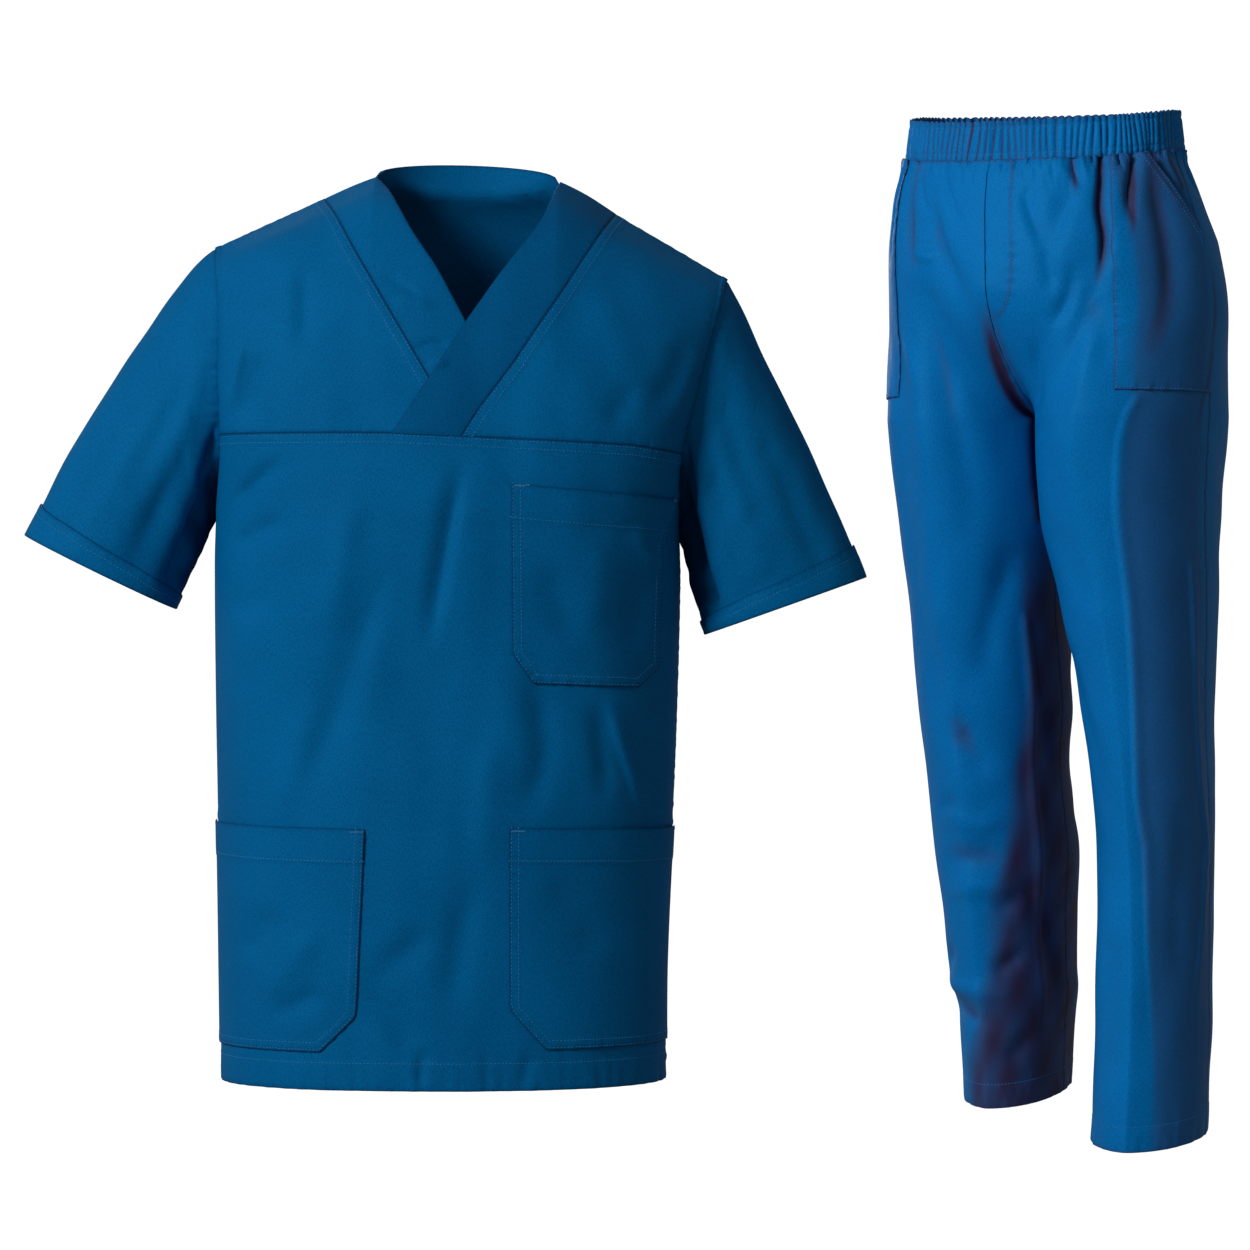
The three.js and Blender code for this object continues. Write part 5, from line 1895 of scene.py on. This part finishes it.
class BandForm(Form):
    """The waistband: turn from 0 at the centre front over the wearer's left, height from 0 to 1."""

    def __init__(self, legs: dict[Side, LegForm]) -> None:
        """Keep the legs that the band sits on, and draw the gathers' waves once.

        Args:
            legs: The forms of both legs.
        """
        self.legs = legs
        draw = np.random.default_rng(140)
        self.waves = [(int(n), draw.uniform(5, 9) / n, draw.uniform(0, 6.28), draw.uniform(-0.08, 0.08))
                      for n in (7, 13, 19, 29, 41, 53)]

    def swing(self, u: Cloud, v: Cloud) -> Cloud:
        """How far a place lies from the bottom of its gather: 0 in the slit, 1 on the ridge.

        Args:
            u: Places along the form's first coordinate.
            v: Places along the form's second coordinate.

        Returns:
            Distances from 0 to 1.
        """
        height = v * BAND_HEIGHT
        angle = np.pi * GATHERS * u
        for count, sway, phase, lean in self.waves:
            angle = angle + sway * np.sin(2 * np.pi * count * u + phase + lean * height)
        return np.abs(np.sin(angle))

    def gather(self, u: Cloud, v: Cloud) -> Cloud:
        """Lift of the uneven gathers, pinched at the two rows.

        Args:
            u: Places along the form's first coordinate.
            v: Places along the form's second coordinate.

        Returns:
            The lift of the cloth there.
        """
        height = v * BAND_HEIGHT
        pinch = 1 - 0.5 * np.exp(-((height - 32.0) / 1.8) ** 2) - 0.5 * np.exp(-((height - 7.0) / 2.0) ** 2)
        strong = 0.8 + 0.25 * np.sin(2 * np.pi * 19 * u + 0.06 * height) * np.sin(2 * np.pi * 5 * u + 1)
        low = 0.35 + 0.65 * smooth(height / 6)
        return 3.2 * strong * (self.swing(u, v) ** 0.7 - 0.6) * pinch * low

    def trough(self, u: Cloud, v: Cloud) -> Cloud:
        """Painted shade in the slits between the gathers, stronger in some stretches, from 0 to 1."""
        sunk = smooth((0.5 - self.swing(u, v)) / 0.34)
        return sunk * (0.55 + 0.45 * np.sin(2 * np.pi * 3 * u + 2.1))

    def place(self, u: Cloud, v: Cloud) -> Cloud:
        """Points in the frame of the model.

        Args:
            u: Places along the form's first coordinate.
            v: Places along the form's second coordinate.

        Returns:
            Points in the frame of the model.
        """
        share = u - np.floor(u)
        out = None
        for side, form in self.legs.items():
            around = np.where(share < 0.5, share * 2, 2 - share * 2)
            around = np.clip(around, 0.0002, 0.9998)
            point = form.own(around, WAIST_Z - BAND_HEIGHT * (1 - v))
            hip = form.own(around, np.full(np.shape(around), WAIST_Z - BAND_HEIGHT))
            point[..., 0] = mix(hip[..., 0], point[..., 0], 0.8)
            point[..., 2] -= waist_drop(side, around)
            point[..., 2] += 1.6 * (self.swing(u, v) - 0.55) * smooth((v - 0.72) / 0.28)
            mine = (share < 0.5) == (side is Side.LEFT)
            out = point if out is None else np.where(mine[..., None], point, out)
        return stand(out)


@dataclass
class Trousers:
    """The trousers: four leg panels, slant pockets and the gathered waistband."""

    finishes: Finishes
    stitches: Stitches = field(default_factory=lambda: Stitches("stitching_trousers", "trouser_twill"))
    step: float = 2.9

    def __post_init__(self) -> None:
        """Make the forms of both legs."""
        rows = {
            Side.LEFT: [
                (((0.26, 58), (0.26, 47), (0.232, -3), (0.222, -85)), 6.5, -11, 0.2),
                (((0.222, -85), (0.259, -115), (0.311, -161)), 15, -5), (((0.24, 58), (0.22, 23)), 4, -3.5),
                (((0.355, 60), (0.355, 52), (0.313, 16), (0.291, -26)), 7, -9, -0.2),
                (((0.313, 58), (0.294, 33)), 4, -3.5),
                (((0.4, 50), (0.385, 20), (0.372, -30), (0.375, -130)), 18, -7, 0.2, 0.2),
                (((0.184, 58), (0.186, 42), (0.197, 11)), 6, -7), (((0.15, 60), (0.15, 40)), 4, -3),
                (((0.09, 60), (0.092, 38)), 4, -2.5), (((0.045, 60), (0.05, 44)), 3.5, -2),
                (((0.08, 12), (0.094, -15), (0.112, -44)), 9, -5, 0.3),
                (((0.178, 10), (0.145, -12), (0.118, -48)), 11, -5, -0.3),
                (((0.115, -36), (0.118, -60), (0.136, -86)), 9, -4),
                (((0.168, -62), (0.163, -90), (0.12, -114)), 10, -4.5),
                (((0.205, -50), (0.205, -114), (0.204, -179)), 13, -3),
                (((0.12, -177), (0.078, -113)), 12, -3.5),
                (((0.004, -90), (0.006, -140), (0.03, -190), (0.075, -250), (0.095, -300)), 8, -7, 0.3),
                (((0.455, -330), (0.455, -530), (0.439, -733), (0.441, -826)), 5, 2.6, 0.4),
                (((0.35, -180), (0.303, -437), (0.282, -547), (0.294, -689), (0.323, -823)), 5, 3.0, 0.5),
                (((0.1, -420), (0.16, -500), (0.15, -560)), 18, -3.5),
                (((0.4, -560), (0.37, -650), (0.38, -760)), 16, -3),
                (((0.2, -690), (0.17, -760), (0.18, -850)), 17, -3.5),
                (((0.25, -300), (0.2, -380)), 18, -2.5),
                (((0.62, 60), (0.62, -30)), 8, -7), (((0.7, 60), (0.72, -55)), 9, -8),
                (((0.8, 60), (0.83, -40)), 8, -7),
                (((0.9, 60), (0.91, -20)), 8, -6), (((0.55, 60), (0.56, 10)), 6, -5),
                (((0.88, -170), (0.78, -230), (0.66, -330)), 16, -7),
                (((0.9, -420), (0.8, -450), (0.68, -520)), 18, -6),
                (((0.9, -540), (0.78, -560), (0.6, -548)), 16, -5), (((0.62, -690), (0.7, -790)), 17, -4),
            ],
            Side.RIGHT: [
                (((0.246, 60), (0.244, 50), (0.212, 2), (0.2, -22), (0.174, -57)), 8, -15, 0.2),
                (((0.205, 60), (0.203, 49), (0.138, -11)), 4, -3.5),
                (((0.122, 60), (0.122, 44), (0.079, 11), (0.019, -32)), 4.5, -3.5),
                (((0.172, -34), (0.143, -42), (0.106, -37)), 5, 3.0),
                (((0.131, 2), (0.095, -36), (0.054, -69), (0.03, -97), (0.026, -120)), 13, -6.5, 0.3),
                (((0.16, 60), (0.16, 42)), 4, -3), (((0.075, 60), (0.07, 44)), 3.5, -2.5),
                (((0.003, -85), (0.005, -112), (0.01, -140), (0.022, -170), (0.038, -205), (0.04, -265)),
                 7, -15, 0.2, 0.1, 0.3),
                (((0.148, -81), (0.193, -193), (0.174, -324)), 15, -5),
                (((0.106, -324), (0.165, -401), (0.199, -457)), 15, -5),
                (((0.3, -120), (0.32, -260), (0.3, -420)), 20, -3.5),
                (((0.24, -480), (0.17, -540)), 15, -4),
                (((0.29, -566), (0.204, -578), (0.13, -560)), 10, 3),
                (((0.29, -612), (0.21, -602), (0.15, -617)), 12, -4),
                (((0.3, -640), (0.2, -634), (0.12, -650)), 9, 2.5),
                (((0.3, -380), (0.26, -480), (0.22, -545)), 22, -3.5),
                (((0.31, -560), (0.25, -555)), 9, -3), (((0.13, -640), (0.2, -665)), 11, -4),
                (((0.404, -731), (0.25, -735), (0.15, -747)), 9, 4.5),
                (((0.4, -750), (0.287, -757), (0.2, -776)), 11, -5.5),
                (((0.14, -700), (0.22, -722)), 9, -5), (((0.13, -780), (0.2, -810)), 10, -4),
                (((0.34, -700), (0.42, -712)), 9, -4),
                (((0.077, -380), (0.077, -457), (0.082, -640), (0.086, -832)), 4.5, 3.6, 0.3),
                (((0.1, -640), (0.05, -700), (0.02, -760)), 11, -5), (((0.05, -470), (0.02, -540)), 10, -5),
                (((0.3, 60), (0.297, 20), (0.29, -50)), 6, -10), (((0.4, 60), (0.41, -30)), 8, -6),
                (((0.35, 60), (0.34, 20)), 5, -4),
                (((0.62, 60), (0.61, -30)), 8, -7), (((0.73, 60), (0.74, -50)), 9, -8),
                (((0.84, 60), (0.83, -20)), 8, -7),
                (((0.92, 60), (0.91, -40)), 8, -6), (((0.88, -170), (0.76, -240), (0.64, -350)), 17, -7),
                (((0.9, -430), (0.8, -470), (0.68, -520)), 17, -6),
                (((0.88, -560), (0.74, -590), (0.58, -570)), 14, -6),
                (((0.6, -738), (0.74, -748), (0.86, -742)), 10, 5),
                (((0.58, -765), (0.72, -772), (0.84, -790)), 10, -5),
            ],
        }
        # Paths of painted shade (points, width, amount, skew, start, end): dark slits beside the pockets,
        # the shadowed gap at the crotch, a shaded band over the left hip, shade along the left outseam and
        # in knee folds.
        painted_shade_paths = {
            Side.LEFT: [
                (((0.41, 58), (0.385, 30), (0.37, -40), (0.365, -120), (0.37, -168)), 17, 0.72, 0, 1, 0.3),
                (((0.357, 60), (0.346, 45), (0.323, 17), (0.29, -30)), 5, 1.3, 0, 1, 0.3),
                (((0.26, 60), (0.26, 47), (0.236, 0), (0.224, -70)), 5, 1.4, 0, 1, 0.3),
                (((0.186, 50), (0.186, 14)), 3.5, 1.0, 0, 0.5, 0.3),
                (((0.496, -40), (0.497, -150), (0.497, -250)), 4, 0.7, 0, 0.3, 0.2),
                (((0.497, -500), (0.497, -650), (0.497, -840)), 4, 0.6, 0, 0.3, 0.8),
            ],
            Side.RIGHT: [
                (((0.238, 60), (0.222, 30), (0.196, -22), (0.182, -45)), 8, 1.0, 0, 1, 0.2),
                (((0.003, -92), (0.012, -124), (0.024, -152), (0.044, -183), (0.052, -221), (0.05, -285)),
                 7, 1.8, 0, 0.2, 0.6),
                (((0.302, 58), (0.299, 20), (0.292, -52)), 4.5, 1.0, 0, 1, 0.5),
                (((0.28, -600), (0.2, -606), (0.12, -612)), 10, 0.3),
                (((0.36, -752), (0.26, -758), (0.16, -778)), 10, 0.35),
            ],
        }
        self.legs = {}
        self.bags = {}
        for side in (Side.LEFT, Side.RIGHT):
            lifts = [LegFold(*row) for row in rows[side]]
            lifts += [Waves(100 + side.value, 80, 170, 1.3, 2.4),
                      Waves(104 + side.value, 30, 64, 0.35, 1.8)]
            shades = [LegFold(*row) for row in painted_shade_paths[side]]
            # Painted shadow just inside each pocket's mouth.
            mouth_shadow = ((0.364, 60), (0.39, 44), (0.424, 20), (0.452, -4), (0.465, -18))
            self.bags[side] = LegForm(side, lifts, shades + [LegFold(mouth_shadow, 4.0, 0.8, 0, 1, 0.3)])
            # The gap behind each pocket's mouth: a real hollow along path, with painted shadow along it and
            # a second painted dark line beside it.
            path = ((0.402, 57), (0.426, 32), (0.457, 9), (0.487, -14))
            second = ((0.455, 56), (0.472, 34), (0.488, 12))
            self.legs[side] = LegForm(side, lifts + [LegFold(path, 8, -12, 0.0, 1, 0.2)],
                shades + [LegFold(path, 9, 1.7, 0.0, 1, 0.2), LegFold(second, 3, 1.3, 0, 1, 0.3)])

    def finish(self, panel: Panel) -> bpy.types.Object:
        """Build a panel in the trousers' twill."""
        return panel.build(self.finishes.trousers, self.stitches, "trouser_twill")

    def leg_rows(self) -> Cloud:
        """Row coordinates of a leg, even in height and fine beside the waist seam and the hem.

        Returns:
            The row coordinates.
        """
        total = 132.0 + 120.0 + 670.0
        at = spaced(total, self.step, (), (23.0,)) * total
        key = np.linspace(0, 3, 3001)
        height = np.where(key <= 1, 132 * key, np.where(
            key <= 2, 132 + 120 * np.sin((np.clip(key, 1, 2) - 1) * np.pi / 2), 252 + 670 * (key - 2)))
        return np.interp(at, height, key)

    def row_path(self, side: Side, low: float, high: float, row: float, drop: float = 0.0) -> Cloud:
        """Path along one row of a leg, lowered by a number of millimetres."""
        around = np.linspace(low, high, 60)
        return pair(around, leg_z(side, around, np.full(60, row)) - drop)

    def upright(self, side: Side, around: float, top: float, end: float) -> Cloud:
        """Path down a leg at one place around it, between two rows."""
        rows = np.linspace(top, end, 90)
        return pair(np.full(90, around), leg_z(side, np.full(90, around), rows))

    def build_legs(self) -> None:
        """Make the four leg panels."""
        rows = self.leg_rows()
        for side, form in self.legs.items():
            for face, (low, high) in (("front", (0.0004, 0.49999)), ("back", (0.50001, 0.9996))):
                s = low + (high - low) * spaced(285, self.step if face == "front" else self.step + 0.6)
                u, row = np.meshgrid(s, rows)
                v = leg_z(side, u, row)
                edge = low if face == "front" else high
                seams = [
                    Seam(self.row_path(side, low, high, 0), pucker=1.7, pitch=8, reach=15,
                         seed=110 + side.value),
                    Seam(self.row_path(side, low, high, 3), rows=(23.0,), allowance=24, lift=0.3,
                         pucker=0.35, pitch=15, reach=24, seed=113 + side.value),
                    Seam(self.upright(side, 0.5 - (0.5 - low) * 0.001 if face == "front" else low, 0, 3),
                         pucker=0.35, pitch=17, reach=9, seed=116 + side.value),
                    Seam(self.upright(side, edge, 0, 2), pucker=0.2, pitch=14, reach=8,
                         seed=119 + side.value, quiet=face == "front"),
                    Seam(self.upright(side, edge, 2, 3), pucker=0.4, pitch=18, reach=9,
                         seed=122 + side.value),
                ]
                if side is Side.LEFT and face == "front":
                    fly = np.array([[0.052, 55], [0.05, 10], [0.05, -40], [0.044, -75], [0.025, -96],
                                    [0.001, -101]])
                    seams.append(Seam(fly, rows=(0.0,), pucker=0.5, pitch=14, reach=7, seed=125))
                name = f"leg_{face}_{side.name.lower()}"
                self.finish(Panel(name, form, u, v, (0.34, 0.97), 0.255, seams=seams))

    def build_pockets(self) -> None:
        """Make the slant pockets on the front panels, open at the slanted mouth."""
        for side, form in self.bags.items():
            z = np.linspace(62 - 0.5, -170, 120)
            mouth_y = float(form.own(np.array([0.385]), np.array([62.0]))[0, 1])
            ends = []
            for level in z:
                if level <= -30:
                    ends.append(0.4996)
                    continue
                around = np.linspace(0.3, 0.4996, 120)
                y = form.own(around, np.full(120, level))[:, 1]
                want = mix(0.0, mouth_y, (level + 30) / 92.0)
                ends.append(float(np.interp(want, y, around)))
            t = spaced(232, 2.2)
            s = spaced(120, 2.0)
            level = mix(61.5, -170.0, t)
            outer = np.interp(-level, -z, np.array(ends))
            inner = np.interp(-level, [-62, -20, 30, 70, 130, 170],
                              [0.281, 0.263, 0.249, 0.2565, 0.295, 0.312])
            u = inner[:, None] + (outer - inner)[:, None] * s[None, :]
            drop = waist_drop(side, u)
            tall = level[:, None]
            v = tall + 1.5 * smooth((tall - 30) / 30) - drop * np.clip((tall + 170) / 232, 0, 1)
            mouth = pair(u[:, -1], v[:, -1])
            split = int(np.argmin(np.abs(level + 30)))
            sewn = np.vstack([pair(u[:, 0], v[:, 0]), pair(u[-1], v[-1])[1:]])
            seams = [
                Seam(sewn, rows=(2.0,), pucker=0.3, pitch=10, reach=7, seed=130 + side.value),
                Seam(mouth[:split], rows=(2.5, 8.0), allowance=10, lift=0.4, pucker=0.2,
                     seed=133 + side.value),
                Seam(pair(u[0], v[0]), pucker=1.4, pitch=8, reach=14, seed=136 + side.value),
            ]
            gape = np.exp(-((level - 22) / 36) ** 2)[:, None] * (s ** 3)[None, :] * 0.8

            def open_mouth(u: Cloud, v: Cloud, base: Cloud, gape: Cloud = gape) -> Cloud:
                """The mouth's edge stands off the hip."""
                return gape

            name = f"slant_pocket_{side.name.lower()}"
            self.finish(Panel(name, form, u, v, (0.15, 0.235), 0.03, seams=seams, layer=1.5,
                              relief=open_mouth))

    def build_waistband(self) -> None:
        """Make the waistband, gathered on its elastic between two sewn rows with a ruffled top edge."""
        form = BandForm(self.legs)
        columns = 928
        s = np.arange(columns) / columns
        t = spaced(BAND_HEIGHT, 1.5, (7.0,), (6.0,))
        u, v = np.meshgrid(s, t)

        def gathers(u: Cloud, v: Cloud, base: Cloud) -> Cloud:
            """Lift of the gathers."""
            return form.gather(u, v)

        seams = [
            Seam(pair(np.linspace(0, 1, 201)[:-1], np.full(200, 0.0)), rows=(7.0,), pucker=0.2,
                 closed=True, seed=141),
            Seam(pair(np.linspace(0, 1, 201)[:-1], np.full(200, 1.0)), rows=(6.0,), pucker=0.3,
                 closed=True, seed=142),
        ]
        self.finish(Panel("waistband", form, u, v, (1.0, 0.045), held="gathered", seams=seams,
                          tube=True, inner_step=1, relief=gathers))

    def build(self) -> None:
        """Make all pieces of the trousers."""
        self.build_legs()
        self.build_pockets()
        self.build_waistband()
        self.stitches.build(self.finishes.trouser_thread)


@dataclass
class Studio:
    """Camera, pale floor with a curved backdrop, and soft light."""

    eye: tuple[float, float, float] = (0.140, -4.0, -0.386)
    lens: float = 130.18
    floor_z: float = -1.12

    def build_camera(self) -> None:
        """Add the camera square to the fronts."""
        data = bpy.data.cameras.new("view")
        data.lens = self.lens
        data.sensor_width = 36.0
        data.clip_end = 60.0
        camera = bpy.data.objects.new("view", data)
        camera.location = self.eye
        camera.rotation_euler = (math.radians(90), 0, 0)
        bpy.context.scene.collection.objects.link(camera)
        bpy.context.scene.camera = camera

    def build_floor(self) -> None:
        """Add the floor, which curves up behind the clothes."""
        bend = 1.0
        back = 7.5
        profile = [(-9.0, self.floor_z)]
        for k in range(13):
            angle = k / 12 * math.pi / 2
            profile.append((back + bend * math.sin(angle), self.floor_z + bend * (1 - math.cos(angle))))
        profile.append((back + bend, self.floor_z + 7.0))
        verts = [(x, y, z) for x in (-9.0, 9.0) for y, z in profile]
        count = len(profile)
        faces = [[k, k + count, k + 1 + count, k + 1] for k in range(count - 1)]
        mesh = bpy.data.meshes.new("floor")
        mesh.from_pydata(verts, [], faces)
        mesh.polygons.foreach_set("use_smooth", np.ones(len(faces), dtype=bool))
        floor = bpy.data.objects.new("floor", mesh)
        bpy.context.scene.collection.objects.link(floor)
        material = bpy.data.materials.new("pale_floor")
        material.use_nodes = True
        shader = material.node_tree.nodes["Principled BSDF"]
        shader.inputs["Base Color"].default_value = (0.93, 0.93, 0.93, 1)
        shader.inputs["Roughness"].default_value = 0.9
        kit = NodeKit(material.node_tree)
        place = kit.add("ShaderNodeTexCoord")
        apart = kit.add("ShaderNodeSeparateXYZ")
        kit.join(place.outputs["Object"], apart.inputs[0])
        far = kit.add("ShaderNodeMapRange", From_Min=-1.5, From_Max=0.6, To_Min=0.2, To_Max=0.9)
        kit.join(apart.outputs["Y"], far.inputs["Value"])
        glow = kit.add("ShaderNodeCombineColor")
        for name in ("Red", "Green", "Blue"):
            kit.join(far.outputs["Result"], glow.inputs[name])
        kit.join(glow.outputs["Color"], shader.inputs["Emission Color"])
        shader.inputs["Emission Strength"].default_value = 1.0
        mesh.materials.append(material)
        floor.visible_glossy = False
        floor.visible_diffuse = False

    def add_light(self, name: str, place: tuple, aim: tuple, size: float, watts: float,
                  garment: Optional[bpy.types.Collection] = None) -> None:
        """Add a large soft lamp.

        Args:
            name: Name of the lamp.
            place: Where it stands, in metres.
            aim: Where it points.
            size: Side of its square face.
            watts: Its power.
            garment: Pieces that it lights alone, as the garments were pictured apart.
        """
        data = bpy.data.lights.new(name, "AREA")
        data.size = size
        data.energy = watts
        lamp = bpy.data.objects.new(name, data)
        lamp.location = place
        lamp.rotation_euler = (Vector(aim) - Vector(place)).to_track_quat("-Z", "Y").to_euler()
        bpy.context.scene.collection.objects.link(lamp)
        if garment is not None:
            lamp.light_linking.receiver_collection = garment
            lamp.light_linking.blocker_collection = garment

    def build_light(self) -> None:
        """Add each garment's key light, the fill and the surrounding light."""
        groups = {}
        for name in ("top_twill", "trouser_twill"):
            groups[name] = bpy.data.collections.new(f"lit_{name}")
            for piece in bpy.context.scene.objects:
                if piece.type == "MESH" and any(m and m.name.startswith(name.split("_")[0])
                                                for m in piece.data.materials):
                    groups[name].objects.link(piece)
        self.add_light("key_top", (-2.7, -2.9, 1.4), (0.0, 0.0, -0.35), 1.3, 138, groups["top_twill"])
        self.add_light("key_trousers", (-2.6, -2.8, 1.5), (0.55, 0.2, -0.35), 1.3, 172,
                       groups["trouser_twill"])
        self.add_light("fill", (2.2, -3.4, 0.4), (0.2, 0.0, -0.4), 2.4, 3)
        for name, group in groups.items():
            self.add_light(f"behind_{name}", (-0.5, 4.8, 1.3), (0.2, 0.0, -0.4), 2.0, 70, group)
            bpy.context.scene.objects[f"behind_{name}"].visible_camera = False
        world = bpy.data.worlds.new("studio")
        world.use_nodes = True
        sky = world.node_tree.nodes["Background"]
        sky.inputs["Color"].default_value = (1, 1, 1, 1)
        sky.inputs["Strength"].default_value = 0.19
        bpy.context.scene.world = world
        bpy.context.scene.view_settings.view_transform = "Standard"

    def build(self) -> None:
        """Set up the whole studio."""
        self.build_camera()
        self.build_floor()
        self.build_light()


def main() -> None:
    """Build the set and its studio."""
    logging.basicConfig(level=logging.INFO, format="%(message)s")
    weave = TwillWeave().build()
    finishes = Finishes(
        # Each twill's third colour is the colour of its painted shade; the trousers' is purplish.
        top=ClothFinish("top_twill", (0.0006, 0.145, 0.375), (0.0003, 0.058, 0.17), (0.0003, 0.026, 0.085),
                        0.0, 0.1, 0.55).build(weave),
        trousers=ClothFinish("trouser_twill", (0.0006, 0.19, 0.54), (0.0003, 0.08, 0.26),
                             (0.034, 0.023, 0.07), 0.0, 0.22, 0.48).build(weave),
        top_thread=ThreadFinish("top_thread", (0.008, 0.17, 0.4)).build(),
        trouser_thread=ThreadFinish("trouser_thread", (0.008, 0.17, 0.44)).build(),
    )
    Top(finishes).build()
    Trousers(finishes).build()
    Studio().build()


if __name__ == "__main__":
    main()
